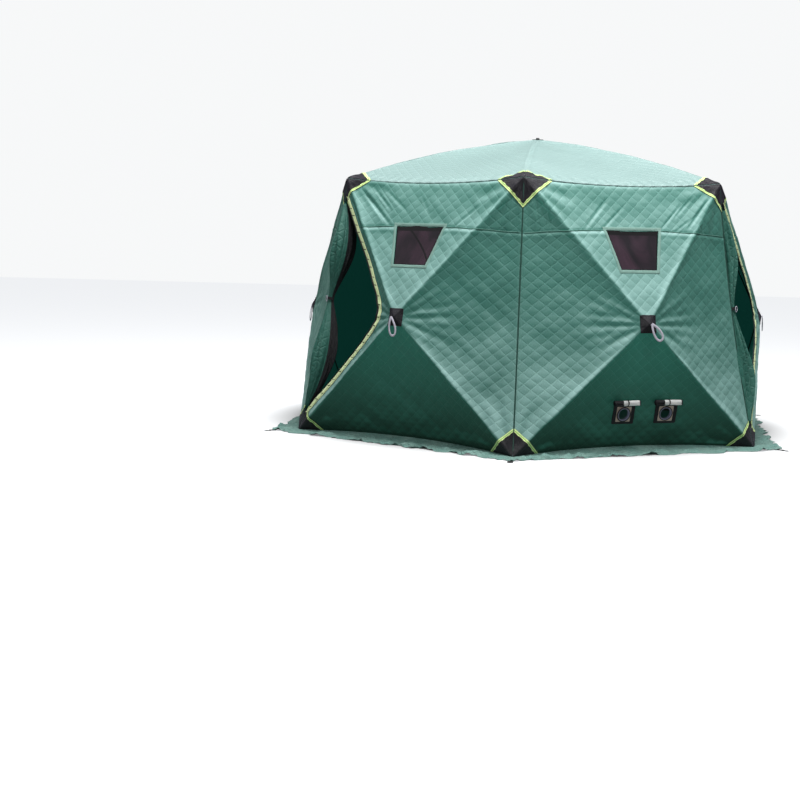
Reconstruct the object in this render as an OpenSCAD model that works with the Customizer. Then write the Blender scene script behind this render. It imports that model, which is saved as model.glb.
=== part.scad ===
// Six-sided pop-up ice fishing shelter: quilted walls pushed out by a hub at the middle of each
// wall, a domed roof of six gores, a ground skirt, two zipped doors and the rod frame inside.

/* [Footprint and heights] */
// Radius from the centre of the floor to each base corner
corner_r = 2030; // [1600:10:2600]
// Radius from the centre line to each eave corner
eave_r = 1660; // [1300:2:2200]
// Height of the eave corners
eave_h = 1980; // [1600:5:2400]
// Height of the roof's peak
apex_h = 2350; // [2150:5:2900]
// How far each wall hub stands out from the centre line
hub_r = 1858; // [1560:1:2300]
// Height of the wall hubs
hub_h = 945; // [780:1:1150]

/* [Fabric] */
// Thickness of the quilted wall and roof fabric
fabric_t = 6; // [3:0.5:10]
// Thickness of the skirt fabric
skirt_t = 3; // [1:0.5:5]
// Width of the ground skirt
skirt_w = 290; // [150:5:400]
// How far the skirt reaches past each corner
skirt_tip = 238; // [200:2:300]
// Thickness of patches, bindings and piping
patch_t = 1.6; // [1:0.1:3]
// How far the eave seam is drawn in at its middle
eave_bow = 10; // [0:5:90]
// How far the eave seam hangs at its middle
eave_sag = 40; // [0:5:70]
// How far the base edge is drawn in at its middle
base_bow = 110; // [0:5:160]
// How far the base edge lifts off the ground at its middle
base_lift = 30; // [0:5:70]
// How far each corner seam is drawn in at its middle
seam_bow = 35; // [0:5:60]
// How far the fabric hangs in between two rods
belly = 0; // [0:2:36]
// Rise of the roof over a straight line from peak to eave
roof_camber = 50; // [20:5:90]

/* [Windows] */
// Width of the clear pane along its upper edge
window_top_w = 440; // [300:5:520]
// Width of the clear pane along its lower edge
window_base_w = 300; // [160:2:320]
// Height of the pane's upper edge over the ground
window_top_z = 1614; // [1500:2:1680]
// Height of the pane, measured upright
window_h = 285; // [180:5:320]
// Width of the binding round the pane
binding_w = 22; // [12:1:30]

/* [Doors] */
// Gap from the wall hub to the door's zip, as measured along the wall
door_gap = 212; // [150:2:260]
// Width of the bright zip band
zip_w = 38; // [20:1:50]
// Radius of the gathered door at its widest
bundle_r = 72; // [35:1:90]
// Radius of the gathered door where it is tied
waist_r = 22; // [15:1:30]

/* [Vents] */
// Height of the vent ports over the ground
vent_z = 276; // [240:2:340]
// Distance between the two vent ports
vent_pitch = 350; // [260:5:420]
// How far the pair of ports sits off the wall's middle
vent_shift = 78; // [-60:2:100]
// Width of each port's square patch
vent_patch_w = 180; // [150:5:220]
// Height of each port's square patch
vent_patch_h = 145; // [130:5:180]
// Width of the vent frame's seam round the rectangular cut in the wall
vent_seam_w = 14; // [10:1:20]
// Radius of the port's opening
vent_hole_r = 43; // [25:1:50]
// Radius of the rolled-up port cover
roll_r = 18; // [12:1:22]

/* [Corner patches] */
// Reach of the eave patches along the eave, piping included
eave_patch_reach = 232; // [140:5:260]
// Reach of the eave patches down the corner seam, piping included
eave_patch_drop = 220; // [150:5:280]
// Reach of the base patches along the base edge, piping included
base_patch_reach = 225; // [140:5:260]
// Reach of the base patches up the corner seam, piping included
base_patch_rise = 205; // [140:5:260]
// Width of the bright piping round the patches
piping_w = 34; // [15:1:50]
// Side of the square patch over each wall hub
hub_patch_w = 128; // [90:2:160]

/* [Frame] */
// Diameter of the rods
rod_d = 11; // [8:0.5:13]
// Radial clearance between a rod and its socket
socket_clearance = 0.25; // [0.1:0.05:0.5]
// Wall of each rod socket
socket_wall = 2.8; // [2:0.1:4]
// Length of each rod socket
socket_l = 56; // [40:1:80]
// Radius of the reinforcement over the roof's peak
cap_r = 48; // [42:1:80]
// Radius of the knob on the roof's peak
knob_r = 17; // [10:1:25]
// Height of the knob on the roof's peak
knob_h = 16; // [6:1:30]
// Radius of the disc of a wall hub
hub_disc_r = 34; // [26:1:38]

/* [Anchor tabs] */
// Width of the webbing tabs at the skirt's corners
tab_w = 40; // [30:1:60]
// Radius of the eyelet in each tab
eyelet_r = 6; // [4:0.5:9]

/* [Hidden] */

sides = 6;
half = 180 / sides;
// Each wall faces this way, in the order front right, right, back right, back left, left, front left
function wall_angle(k) = -60 + 60 * k;
// Each corner stands at this angle; corner k is the left end of wall k, seen from outside
function corner_angle(k) = -90 + 60 * k;
door_walls = [1, 5];
vent_wall = 0;

seam_gap = 0.4;      // between two sewn panels
skin_gap = 0.4;      // between a panel and what is sewn on it
cols = 8;            // columns of each facet's mesh
rings = 5;           // rings of each facet's mesh, from the hub to the edge
door_cols = 22;

hub_point = [hub_r, 0, hub_h];
socket_r = rod_d / 2 + socket_wall;
socket_start = 12;
rod_start = 36;      // from a joint's centre to the end of its rod
rod_inset = 19;      // from the fabric's outer face at a hub to the rod's axis
eave_joint_in = 26;
eave_joint_drop = 24;
foot_in = 38;
foot_r = 22;
foot_h = 18;
roof_joint_drop = 24;
roof_hole_r = 33;

function mix(a, b, t) = a + t * (b - a);
function bow(t) = 4 * t * (1 - t);
function polar(r, a, z) = [r * cos(a), r * sin(a), z];
function unit(v) = v / norm(v);
function grown(p, d) = let (a = atan2(p.y, p.x)) p + d * [cos(a), sin(a), 0];

// ---- The wall's surface, in a frame whose X axis points out of the wall ----

function wall_corner(r, z, side) = [r * cos(half), side * (r * sin(half) - seam_gap / 2), z];
function eave_corner(side) = wall_corner(eave_r, eave_h, side);
function base_corner(side) = wall_corner(corner_r, 0, side);

// A point of the wall's outline: edge 0 is the eave, 1 the right seam, 2 the base, 3 the left seam
function edge(e, t) =
    e == 0 ? mix(eave_corner(-1), eave_corner(1), t) + bow(t) * [-eave_bow, 0, -eave_sag]
    : e == 1 ? mix(eave_corner(1), base_corner(1), t) - bow(t) * polar(seam_bow, half, 0)
    : e == 2 ? mix(base_corner(1), base_corner(-1), t) + bow(t) * [-base_bow, 0, base_lift]
    : mix(base_corner(-1), eave_corner(-1), t) - bow(t) * polar(seam_bow, -half, 0);

// A point of the facet between the hub and one edge: s runs from the hub to the edge
function wall_point(e, s, t) =
    mix(hub_point, edge(e, t), s) - [belly * bow(s) * bow(t), 0, 0];

// The door's zip is a hyperbola whose arms run beside the rods: s = c + sqrt(q^2 + h^2)
half_eave_w = eave_r * sin(half);
door_reach = (corner_r + eave_r) / 2 * sin(half);
door_vertex = door_gap / door_reach;
zip_dc = zip_w / (door_reach * 0.725);
zip_dv = zip_w / door_reach;
function sinh(x) = (exp(x) - exp(-x)) / 2;
function asinh(x) = ln(x + sqrt(x * x + 1));
function zip_s(q, c, h) = c + sqrt(q * q + h * h);
function zip_t(q, s) = (1 + q / s) / 2;
// The zip's stations, as values of q from the base corner to the eave corner
function zip_q(i) =
    let (c = door_vertex / 2, end = asinh(sqrt(pow(1 - c, 2) - c * c) / c))
    c * sinh(end * (2 * i / door_cols - 1));

// Columns of a wall's mesh, as [edge, t, rim]: the rim is 1 but along a door
function edge_cols(e, door) =
    door && e == 3
    ? concat([[3, 0, 1]], [for (i = [0:door_cols])
        let (q = zip_q(i), s = zip_s(q, door_vertex / 2, door_vertex / 2)) [3, zip_t(q, s), s]])
    : [for (i = [0:cols - 1]) [e, i / cols, 1]];
function wall_cols(door) =
    concat(edge_cols(0, door), edge_cols(1, door), edge_cols(2, door), edge_cols(3, door));

// A point of the wall's mesh, with the offset d outwards; ring 0 is the hub
function wall_node(columns, i, j, d) =
    let (c = columns[j % len(columns)])
    i == 0 ? grown(hub_point, d) : grown(wall_point(c[0], c[2] * i / rings, c[1]), d);

// A shell of the wall's first rings, from the offset low to the offset high, outwards positive
module wall_shell(low, high, door = false, last = rings) {
    columns = wall_cols(door);
    n = len(columns);
    function skin(d) = [wall_node(columns, 0, 0, d),
        for (i = [1:last], j = [0:n - 1]) wall_node(columns, i, j, d)];
    m = 1 + last * n;
    function at(i, j) = 1 + (i - 1) * n + (j % n);
    faces = [
        for (j = [0:n - 1]) each [
            [0, at(1, j), at(1, j + 1)],
            [m, m + at(1, j + 1), m + at(1, j)],
            [at(last, j + 1), at(last, j), m + at(last, j)],
            [at(last, j + 1), m + at(last, j), m + at(last, j + 1)]],
        for (i = [1:1:last - 1], j = [0:n - 1]) each [
            [at(i, j), at(i + 1, j), at(i + 1, j + 1)],
            [at(i, j), at(i + 1, j + 1), at(i, j + 1)],
            [m + at(i, j), m + at(i + 1, j + 1), m + at(i + 1, j)],
            [m + at(i, j), m + at(i, j + 1), m + at(i + 1, j + 1)]]];
    polyhedron(concat(skin(high), skin(low)), faces);
}

// A sheet that follows part of the wall: rings i0 to i1 and columns j0 to j1
module wall_sheet(low, high, i0, i1, j0, j1, door = false) {
    columns = wall_cols(door);
    function row(i, d) = [for (j = [j0:j1]) wall_node(columns, i, j, d)];
    sheet([for (i = [i0:i1]) row(i, high)], [for (i = [i0:i1]) row(i, low)]);
}

// A closed sheet between two grids of points with the same rows and columns
module sheet(top, bottom) {
    rows = len(top);
    n = len(top[0]);
    m = rows * n;
    function at(i, j) = i * n + j;
    faces = [
        for (i = [0:rows - 2], j = [0:n - 2]) each [
            [at(i, j), at(i + 1, j), at(i + 1, j + 1)],
            [at(i, j), at(i + 1, j + 1), at(i, j + 1)],
            [m + at(i, j), m + at(i + 1, j + 1), m + at(i + 1, j)],
            [m + at(i, j), m + at(i, j + 1), m + at(i + 1, j + 1)]],
        for (j = [0:n - 2]) each [
            [at(0, j), at(0, j + 1), m + at(0, j + 1)],
            [at(0, j), m + at(0, j + 1), m + at(0, j)],
            [at(rows - 1, j + 1), at(rows - 1, j), m + at(rows - 1, j)],
            [at(rows - 1, j + 1), m + at(rows - 1, j), m + at(rows - 1, j + 1)]],
        for (i = [0:rows - 2]) each [
            [at(i + 1, 0), at(i, 0), m + at(i, 0)],
            [at(i + 1, 0), m + at(i, 0), m + at(i + 1, 0)],
            [at(i, n - 1), at(i + 1, n - 1), m + at(i + 1, n - 1)],
            [at(i, n - 1), m + at(i + 1, n - 1), m + at(i, n - 1)]]];
    polyhedron([for (r = top) each r, for (r = bottom) each r], faces);
}

module facing(k) { rotate([0, 0, wall_angle(k)]) children(); }
module at_corner(k) { rotate([0, 0, corner_angle(k)]) children(); }

// A prism that runs through the wall along its X axis, from an outline in its Y and Z
module through_wall(outline) {
    translate([hub_r * 0.5, 0, 0]) rotate([90, 0, 90]) linear_extrude(hub_r) polygon(outline);
}
function window_outline(grow) =
    let (top = window_top_z + grow, low = window_top_z - window_h - grow,
        lean = (window_top_w - window_base_w) / 2 / window_h,
        a = window_top_w / 2 + grow * (lean + sqrt(1 + lean * lean)),
        b = a - lean * (top - low))
    [[-a, top], [-b, low], [b, low], [a, top]];

// ---- Walls ----

module wall(k) {
    door = len(search(k, door_walls)) > 0;
    color([0.30, 0.52, 0.44]) facing(k) difference() {
        wall_shell(-fabric_t, 0, door);
        through_wall(window_outline(0));
        if (k == vent_wall) for (side = [-1, 1]) vent_cut(side, vent_seam_w);
    }
}

module window_bindings() {
    color([0.62, 0.72, 0.68]) for (k = [0:sides - 1]) facing(k) intersection() {
        wall_sheet(skin_gap, skin_gap + patch_t, 1, 4, 1, cols - 1);
        difference() {
            through_wall(window_outline(binding_w));
            through_wall(window_outline(0));
        }
    }
}

module window_panes() {
    color([0.12, 0.10, 0.13]) for (k = [0:sides - 1]) facing(k) intersection() {
        wall_sheet(-fabric_t * 0.7, -fabric_t * 0.45, 1, 4, 1, cols - 1);
        through_wall(window_outline(-0.3));
    }
}

module hub_patches() {
    w = hub_patch_w / 2;
    color([0.06, 0.06, 0.07]) for (k = [0:sides - 1]) facing(k) intersection() {
        wall_shell(skin_gap, skin_gap + patch_t, last = 1);
        through_wall([[-w, hub_h - w], [w, hub_h - w], [w, hub_h + w], [-w, hub_h + w]]);
    }
}

// ---- Roof ----

// A point of one gore: s runs from the peak to the eave seam
function roof_point(s, t) =
    let (eave = grown(edge(0, t), -fabric_t - seam_gap), peak = [seam_gap, 0, apex_h])
    mix(peak, [eave.x, eave.y, eave.z], s) + [0, 0, roof_camber * bow(s) * (1 - 0.5 * bow(t))];

function roof_row(i, d, j0 = 0, j1 = cols) = [for (j = [j1:-1:j0])
    roof_point(mix(roof_hole_r / eave_r, 1, i / rings), j / cols) + [0, 0, d]];

module roof_gore(k) {
    color([0.42, 0.64, 0.56]) facing(k)
        sheet([for (i = [0:rings]) roof_row(i, 0)], [for (i = [0:rings]) roof_row(i, -fabric_t)]);
}

module roof_cap() {
    color([0.10, 0.10, 0.11]) translate([0, 0, apex_h - 3]) {
        cylinder(h = 2, r = cap_r, $fn = 64);
        cylinder(h = knob_h, r1 = knob_r, r2 = knob_r * 0.7, $fn = 48);
    }
}

// ---- Skirt ----

function skirt_point(u, t) =
    let (inner = edge(2, t) + [skin_gap + skirt_t / 4, 0, 0], side = 1 - 2 * t, r = corner_r + skirt_tip,
        bend = base_bow - skirt_w + skirt_tip * cos(half),
        outer = [r * cos(half) - bow(t) * bend, side * (r * sin(half) - seam_gap / 2), 0],
        fall = max(0, 1 - u / 0.35))
    [mix(inner.x, outer.x, u), mix(inner.y, outer.y, u), inner.z * fall * fall];

module skirt(k) {
    across = [0, 0.1, 0.22, 0.35, 0.7, 1];
    function row(u, d) = [for (j = [0:cols]) skirt_point(u, j / cols) + [0, 0, d]];
    color([0.36, 0.58, 0.52]) facing(k)
        sheet([for (u = across) row(u, skirt_t)], [for (u = across) row(u, 0)]);
}

module anchor_tabs() {
    r = corner_r + skirt_tip;
    color([0.08, 0.08, 0.09]) for (k = [0:sides - 1]) at_corner(k) difference() {
        union() {
            translate([r - 40, -tab_w / 2, skirt_t + 0.3]) cube([44, tab_w, 2]);
            translate([r + 1, -tab_w / 2, 0]) cube([3, tab_w, skirt_t + 2.3]);
            translate([r + 1, -tab_w / 2, 0]) cube([46, tab_w, 2]);
        }
        translate([r + 26, 0, -1]) cylinder(h = 4, r = eyelet_r, $fn = 32);
    }
}

// ---- Corner patches, cut from sheets that follow the walls and the roof ----

eave_l = norm(edge(0, 0) - edge(0, 1));
base_l = norm(edge(2, 0) - edge(2, 1));
seam_l = norm(edge(1, 0) - edge(1, 1));
eave_rod_l = norm(eave_corner(1) - hub_point);
base_rod_l = norm(base_corner(1) - hub_point);
piping_share = 1 - piping_w / eave_patch_reach;
reach_cols = 2;      // columns of a plain wall that hold a corner patch
door_reach_cols = 12;

function yz(p) = [p.y, p.z];

// The patch's outline on a wall, in the wall's Y and Z, at a share of its full reach
function eave_outline(share) =
    let (on_eave = yz(edge(0, 1 - share * eave_patch_reach / eave_l)),
        on_rod = yz(mix(eave_corner(1), hub_point, 0.66 * share * eave_patch_drop / eave_rod_l)),
        on_seam = yz(edge(1, share * eave_patch_drop / seam_l)))
    [on_eave, on_rod, on_seam, on_seam + [90, 0], yz(eave_corner(1)) + [90, 90], on_eave + [0, 90]];
function base_outline(share) =
    let (floor_gap = [0, skirt_t + 1.2],
        on_base = yz(edge(2, share * base_patch_reach / base_l)) + floor_gap,
        on_rod = yz(mix(base_corner(1), hub_point, 0.8 * share * base_patch_rise / base_rod_l)),
        on_seam = yz(edge(1, 1 - share * base_patch_rise / seam_l)))
    [on_base, on_rod, on_seam, on_seam + [90, 0], yz(base_corner(1)) + [90, 0] + floor_gap,
        yz(base_corner(1)) + floor_gap];
// The patch's outline on the roof beside an eave corner, in X and Y
function roof_outline(share) =
    let (r = share * eave_patch_reach,
        tip = polar(eave_r, half, 0),
        ridge = polar(eave_r - 0.62 * r, half, 0),
        on_eave = edge(0, 1 - r / eave_l))
    [[on_eave.x, on_eave.y], [ridge.x, ridge.y], [ridge.x, ridge.y + 90], [tip.x + 90, tip.y + 90],
        [on_eave.x + 90, on_eave.y]];

// Both ends of every wall: the children are cut out of the sheet laid over that corner
module eave_ends(low, high) {
    for (k = [0:sides - 1], side = [-1, 1]) {
        door = side < 0 && len(search(k, door_walls)) > 0;
        n = len(wall_cols(door));
        facing(k) intersection() {
            if (side > 0) wall_sheet(low, high, 3, rings, cols - reach_cols, cols + reach_cols);
            else wall_sheet(low, high, 3, rings, n - (door ? door_reach_cols : reach_cols),
                n + reach_cols, door);
            scale([1, side, 1]) children(0);
        }
        facing(k) scale([1, side, 1]) intersection() {
            sheet([for (i = [3:rings]) roof_row(i, high, cols - reach_cols, cols)],
                [for (i = [3:rings]) roof_row(i, low, cols - reach_cols, cols)]);
            children(1);
        }
    }
}
module base_ends(low, high) {
    for (k = [0:sides - 1], side = [-1, 1]) {
        door = side < 0 && len(search(k, door_walls)) > 0;
        facing(k) intersection() {
            if (side > 0) wall_sheet(low, high, 3, rings, 2 * cols - reach_cols, 2 * cols + reach_cols);
            else wall_sheet(low, high, 3, rings, 3 * cols - reach_cols,
                3 * cols + (door ? door_reach_cols : reach_cols), door);
            scale([1, side, 1]) children();
        }
    }
}
module over_roof(outline) { translate([0, 0, hub_h]) linear_extrude(apex_h) polygon(outline); }

module eave_patches() {
    color([0.07, 0.06, 0.08]) eave_ends(skin_gap, skin_gap + patch_t) {
        through_wall(eave_outline(piping_share - 0.004));
        over_roof(roof_outline(piping_share - 0.004));
    }
}
module eave_piping() {
    color([0.72, 0.95, 0.35]) eave_ends(skin_gap, skin_gap + patch_t) {
        difference() {
            through_wall(eave_outline(1));
            through_wall(eave_outline(piping_share));
        }
        difference() {
            over_roof(roof_outline(1));
            over_roof(roof_outline(piping_share));
        }
    }
}
module base_patches() {
    color([0.07, 0.06, 0.08]) base_ends(skin_gap, skin_gap + patch_t)
        through_wall(base_outline(piping_share - 0.004));
}
module base_piping() {
    color([0.72, 0.95, 0.35]) base_ends(skin_gap, skin_gap + patch_t) difference() {
        through_wall(base_outline(1));
        for (drop = [0, 20]) translate([0, 0, -drop]) through_wall(base_outline(piping_share));
    }
}

// ---- Pull loops ----

module webbing_loop(l, w, band) {
    difference() {
        hull() { circle(r = band); translate([0, -l]) circle(r = w / 2); }
        hull() { translate([0, -band]) circle(r = 1); translate([0, -l]) circle(r = w / 2 - band); }
    }
}
module pull_loops() {
    lift = skin_gap + patch_t + 0.4;
    color([0.72, 0.70, 0.74]) {
        for (k = [0:sides - 1]) facing(k)
            translate([hub_r + lift, 0, hub_h]) rotate([90, 0, 90]) linear_extrude(5)
                webbing_loop(95, 42, 9, $fn = 24);
    }
}

// ---- Doors ----

// The bright band along the zip, laid on the strip of wall that stays beside the rods
module door_zip(k) {
    c = door_vertex / 2;
    c2 = c - zip_dc;
    h2 = door_vertex - zip_dv - c2;
    function pair(i, d) = let (q = zip_q(i), s = zip_s(q, c, c), s2 = zip_s(q, c2, h2))
        [grown(wall_point(3, s, zip_t(q, s)), d), grown(wall_point(3, s2, zip_t(q, s2)), d)];
    stations = [2:door_cols - 2];
    low = skin_gap + 0.3;
    color([0.72, 0.95, 0.35]) facing(k)
        sheet([for (i = stations) pair(i, low + patch_t)], [for (i = stations) pair(i, low)]);
}

// The door, unzipped and gathered against the corner seam, as a tube with two lobes and a tied waist
bundle_sides = 12;
bundle_top = 0.105;
bundle_base = 0.895;
waist_at = 0.475;
waist_half = 0.01;
bundle_stations = concat([for (i = [0:10]) mix(bundle_top, waist_at - waist_half, i / 10)],
    [for (i = [0:12]) mix(waist_at + waist_half, bundle_base, i / 12)]);
function lobe(t, a, b) = t < a || t > b ? 0 : sin(180 * (t - a) / (b - a));
function bundle_radius(t) =
    let (upper = lobe(t, bundle_top - 0.02, waist_at - waist_half),
        lower = lobe(t, waist_at + waist_half, bundle_base + 0.02))
    waist_r + (bundle_r - waist_r) * (0.94 * pow(upper, 1.2) + pow(lower, 1.1))
    - 8 * max(0, 1 - (t - bundle_top) / 0.06) - 8 * max(0, 1 - (bundle_base - t) / 0.06);
tie_t = 3;
tie_h = 24;
function corner_seam(t) = polar(mix(eave_r, corner_r, t) - seam_bow * bow(t), 0, mix(eave_h, 0, t));
function bundle_centre(t) =
    let (r = bundle_radius(t), near_waist = max(0, 1 - abs(t - waist_at) / 0.06))
    corner_seam(t) + [-fabric_t / 2, r + 0.4 + (tie_t + 0.6) * near_waist, 0];

module door_flap(k) {
    function ring(t) = let (c = bundle_centre(t), r = bundle_radius(t))
        [for (j = [0:bundle_sides - 1]) let (a = 360 * j / bundle_sides)
            c + [0.86 * r * cos(a), r * sin(a), 0]];
    n = bundle_sides;
    last = (len(bundle_stations) - 1) * n;
    function at(i, j) = i * n + (j % n);
    color([0.24, 0.44, 0.38]) at_corner(k) polyhedron(
        [for (t = bundle_stations) each ring(t)],
        [[for (j = [0:n - 1]) n - 1 - j], [for (j = [0:n - 1]) last + j],
            for (i = [0:len(bundle_stations) - 2], j = [0:n - 1]) each [
                [at(i, j), at(i, j + 1), at(i + 1, j + 1)], [at(i, j), at(i + 1, j + 1), at(i + 1, j)]]]);
}

module door_ties() {
    lean = atan((corner_r - eave_r) / eave_h);
    color([0.07, 0.07, 0.08]) for (k = door_walls) at_corner(k)
        translate(bundle_centre(waist_at)) rotate([0, -lean, 0]) difference() {
            cylinder(h = tie_h, r = waist_r + tie_t, $fn = 48, center = true);
            cylinder(h = tie_h + 2, r = waist_r + 0.6, $fn = 48, center = true);
        }
}

// ---- Vent ports in the front right wall ----

// s and t of the base facet's point with these Y and Z
function base_st(y, z, n = 6) =
    n == 0 ? [(hub_h - z) / hub_h, 0.5]
    : let (p = base_st(y, z, n - 1), t = (1 - y / (p[0] * base_corner(1).y)) / 2)
        [(hub_h - z) / (hub_h - base_lift * bow(t)), t];
function base_x(y, z) = let (p = base_st(y, z)) wall_point(2, p[0], p[1]).x;
// The ports clear the facets of the mesh, which stand further out the deeper the fabric hangs
vent_lift = 2.2 + 0.05 * belly;
module each_vent() {
    for (side = [-1, 1]) {
        y = vent_shift + side * vent_pitch / 2;
        lean = atan((base_x(y, vent_z + 40) - base_x(y, vent_z - 40)) / 80);
        turn = atan((base_x(y + 40, vent_z) - base_x(y - 40, vent_z)) / 80);
        translate([base_x(y, vent_z), y, vent_z]) rotate([0, 0, -turn]) rotate([0, lean, 0]) children();
    }
}
module vent_hole(r) { rotate([0, 90, 0]) translate([0, 0, -40]) cylinder(h = 80, r = r, $fn = 64); }
// A prism through the wall behind one vent frame, its sides that far inside the frame's outline
module vent_cut(side, inset) {
    w = vent_patch_w / 2 - inset;
    h = vent_patch_h / 2 - inset;
    translate([0, vent_shift + side * vent_pitch / 2, 0])
        through_wall([[-w, vent_z - h], [w, vent_z - h], [w, vent_z + h], [-w, vent_z + h]]);
}
module vent_patches() {
    color([0.06, 0.06, 0.07]) facing(vent_wall) for (side = [-1, 1]) difference() {
        intersection() {
            wall_sheet(skin_gap, skin_gap + patch_t, 2, rings, 2 * cols + 1, 3 * cols - 1);
            vent_cut(side, 0);
        }
        each_vent() vent_hole(vent_hole_r + 7.5);
    }
}
module vent_collars() {
    color([0.20, 0.22, 0.26]) facing(vent_wall) each_vent() rotate([0, 90, 0]) difference() {
        union() {
            translate([0, 0, -16]) cylinder(h = 22, r = vent_hole_r + 6, $fn = 64);
            translate([0, 0, skin_gap + patch_t + vent_lift]) cylinder(h = 3, r = vent_hole_r + 14, $fn = 64);
        }
        translate([0, 0, -17]) cylinder(h = 30, r = vent_hole_r, $fn = 64);
    }
}
module vent_covers() {
    l = vent_patch_w + 25;
    color([0.07, 0.07, 0.08]) facing(vent_wall) each_vent()
        translate([roll_r + skin_gap + patch_t + vent_lift - 0.4, -l / 2, vent_patch_h / 2 + roll_r - 8]) rotate([-90, 0, 0])
            cylinder(h = l, r = roll_r, $fn = 48);
}

// ---- Frame of rods ----

module rod(p, q, d, from, to) {
    v = q - p;
    l = norm(v);
    translate(p) rotate([0, acos(v.z / l), atan2(v.y, v.x)]) translate([0, 0, from])
        cylinder(h = (to == 0 ? l - from : to) - from, d = d, $fn = 32);
}
hub_joint = hub_point - [rod_inset, 0, 0];
// The same point, in the frame of the corner on that side of the wall
function beside(side, p) =
    let (a = side * half) [p.x * cos(a) - p.y * sin(a), p.x * sin(a) + p.y * cos(a), p.z];
function eave_joint(side) = polar(eave_r - eave_joint_in, side * half, eave_h - eave_joint_drop);
function foot_joint(side) = polar(corner_r - foot_in, side * half, foot_h);
wall_rod_ends = [eave_joint(-1), eave_joint(1), foot_joint(-1), foot_joint(1)];

module wall_rods(k) {
    color([0.05, 0.05, 0.06]) facing(k) for (end = wall_rod_ends)
        rod(hub_joint, end, rod_d, rod_start, norm(end - hub_joint) - rod_start);
}

module socketed(centre, ends) {
    difference() {
        union() {
            children();
            for (end = ends) rod(centre, end, 2 * socket_r, socket_start, socket_start + socket_l);
        }
        for (end = ends)
            rod(centre, end, rod_d + 2 * socket_clearance, rod_start - 1, socket_start + socket_l + 2);
    }
}

module wall_hubs() {
    color([0.13, 0.13, 0.14]) for (k = [0:sides - 1]) facing(k)
        socketed(hub_joint, wall_rod_ends)
            translate(hub_point - [fabric_t + 1 + hub_disc_r / 2, 0, 0]) rotate([0, -90, 0]) {
                cylinder(h = 20, r = hub_disc_r, $fn = 64);
                translate([0, 0, -10]) cylinder(h = 10, r1 = 12, r2 = hub_disc_r, $fn = 64);
            }
}

// The roof rods are arcs in the upright plane through a corner; r and z are measured in that plane
roof_joint_z = apex_h - roof_joint_drop;
arc_out = [eave_r - eave_joint_in, eave_h - eave_joint_drop];
arc_in = [0, roof_joint_z];
arc_half = norm(arc_out - arc_in) / 2;
arc_r = (arc_half * arc_half + roof_camber * roof_camber) / (2 * roof_camber);
arc_angle = asin(arc_half / arc_r);
chord_fall = atan2(arc_in.y - arc_out.y, arc_out.x - arc_in.x);
arc_mid = (arc_out + arc_in) / 2;
arc_centre = arc_mid - (arc_r - roof_camber) * [sin(chord_fall), cos(chord_fall)];
rod_end_angle = 180 / PI * rod_start / arc_r;
socket_turn = 180 / PI * 26 / arc_r;   // a socket points at the arc's middle inside it

module roof_rods() {
    start = 90 - chord_fall - arc_angle + rod_end_angle;
    color([0.05, 0.05, 0.06]) for (k = [0:sides - 1]) at_corner(k)
        translate([arc_centre.x, 0, arc_centre.y]) rotate([90, 0, 0]) rotate([0, 0, start])
            rotate_extrude(angle = 2 * (arc_angle - rod_end_angle), $fn = 180)
                translate([arc_r, 0]) circle(d = rod_d, $fn = 32);
}

function ahead(r, z, angle) = [r, 0, z] + 100 * [cos(angle), 0, sin(angle)];
module eave_joints() {
    centre = [arc_out.x, 0, arc_out.y];
    ends = [beside(1, hub_joint), beside(-1, hub_joint),
        ahead(arc_out.x, arc_out.y, 180 - chord_fall - arc_angle + socket_turn)];
    color([0.13, 0.13, 0.14]) for (k = [0:sides - 1]) at_corner(k)
        socketed(centre, ends) translate(centre) sphere(r = 16, $fn = 32);
}
module corner_feet() {
    centre = [corner_r - foot_in, 0, foot_h];
    color([0.13, 0.13, 0.14]) for (k = [0:sides - 1]) at_corner(k)
        socketed(centre, [beside(1, hub_joint), beside(-1, hub_joint)])
            translate([centre.x, 0, 0]) cylinder(h = foot_h + 12, r = foot_r, $fn = 48);
}
module roof_hub() {
    ends = [for (k = [0:sides - 1]) let (p = ahead(0, 0, arc_angle - chord_fall - socket_turn))
        [p.x * cos(corner_angle(k)), p.x * sin(corner_angle(k)), p.z + roof_joint_z]];
    color([0.13, 0.13, 0.14]) socketed([0, 0, roof_joint_z], ends) {
        translate([0, 0, roof_joint_z - 12]) cylinder(h = 20, r = 42, $fn = 64);
        translate([0, 0, roof_joint_z]) cylinder(h = roof_joint_drop - 3.3, r = 16, $fn = 48);
    }
}

wall(0);  // wall_front_right
wall(1);  // wall_right
wall(2);  // wall_back_right
wall(3);  // wall_back_left
wall(4);  // wall_left
wall(5);  // wall_front_left
roof_gore(0);  // roof_front_right
roof_gore(1);  // roof_right
roof_gore(2);  // roof_back_right
roof_gore(3);  // roof_back_left
roof_gore(4);  // roof_left
roof_gore(5);  // roof_front_left
skirt(0);  // skirt_front_right
skirt(1);  // skirt_right
skirt(2);  // skirt_back_right
skirt(3);  // skirt_back_left
skirt(4);  // skirt_left
skirt(5);  // skirt_front_left
window_bindings();
window_panes();
eave_patches();
eave_piping();
base_patches();
base_piping();
hub_patches();
pull_loops();
roof_cap();
door_zip(5);  // front_left_door_zip
door_zip(1);  // right_door_zip
door_flap(5);  // front_left_door_flap
door_flap(1);  // right_door_flap
door_ties();
wall_rods(0);  // rods_front_right
wall_rods(1);  // rods_right
wall_rods(2);  // rods_back_right
wall_rods(3);  // rods_back_left
wall_rods(4);  // rods_left
wall_rods(5);  // rods_front_left
roof_rods();
wall_hubs();
eave_joints();
corner_feet();
roof_hub();
vent_patches();
vent_collars();
vent_covers();
anchor_tabs();
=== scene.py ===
import math
import bpy
import numpy as np
from mathutils import Matrix, Vector


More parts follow.
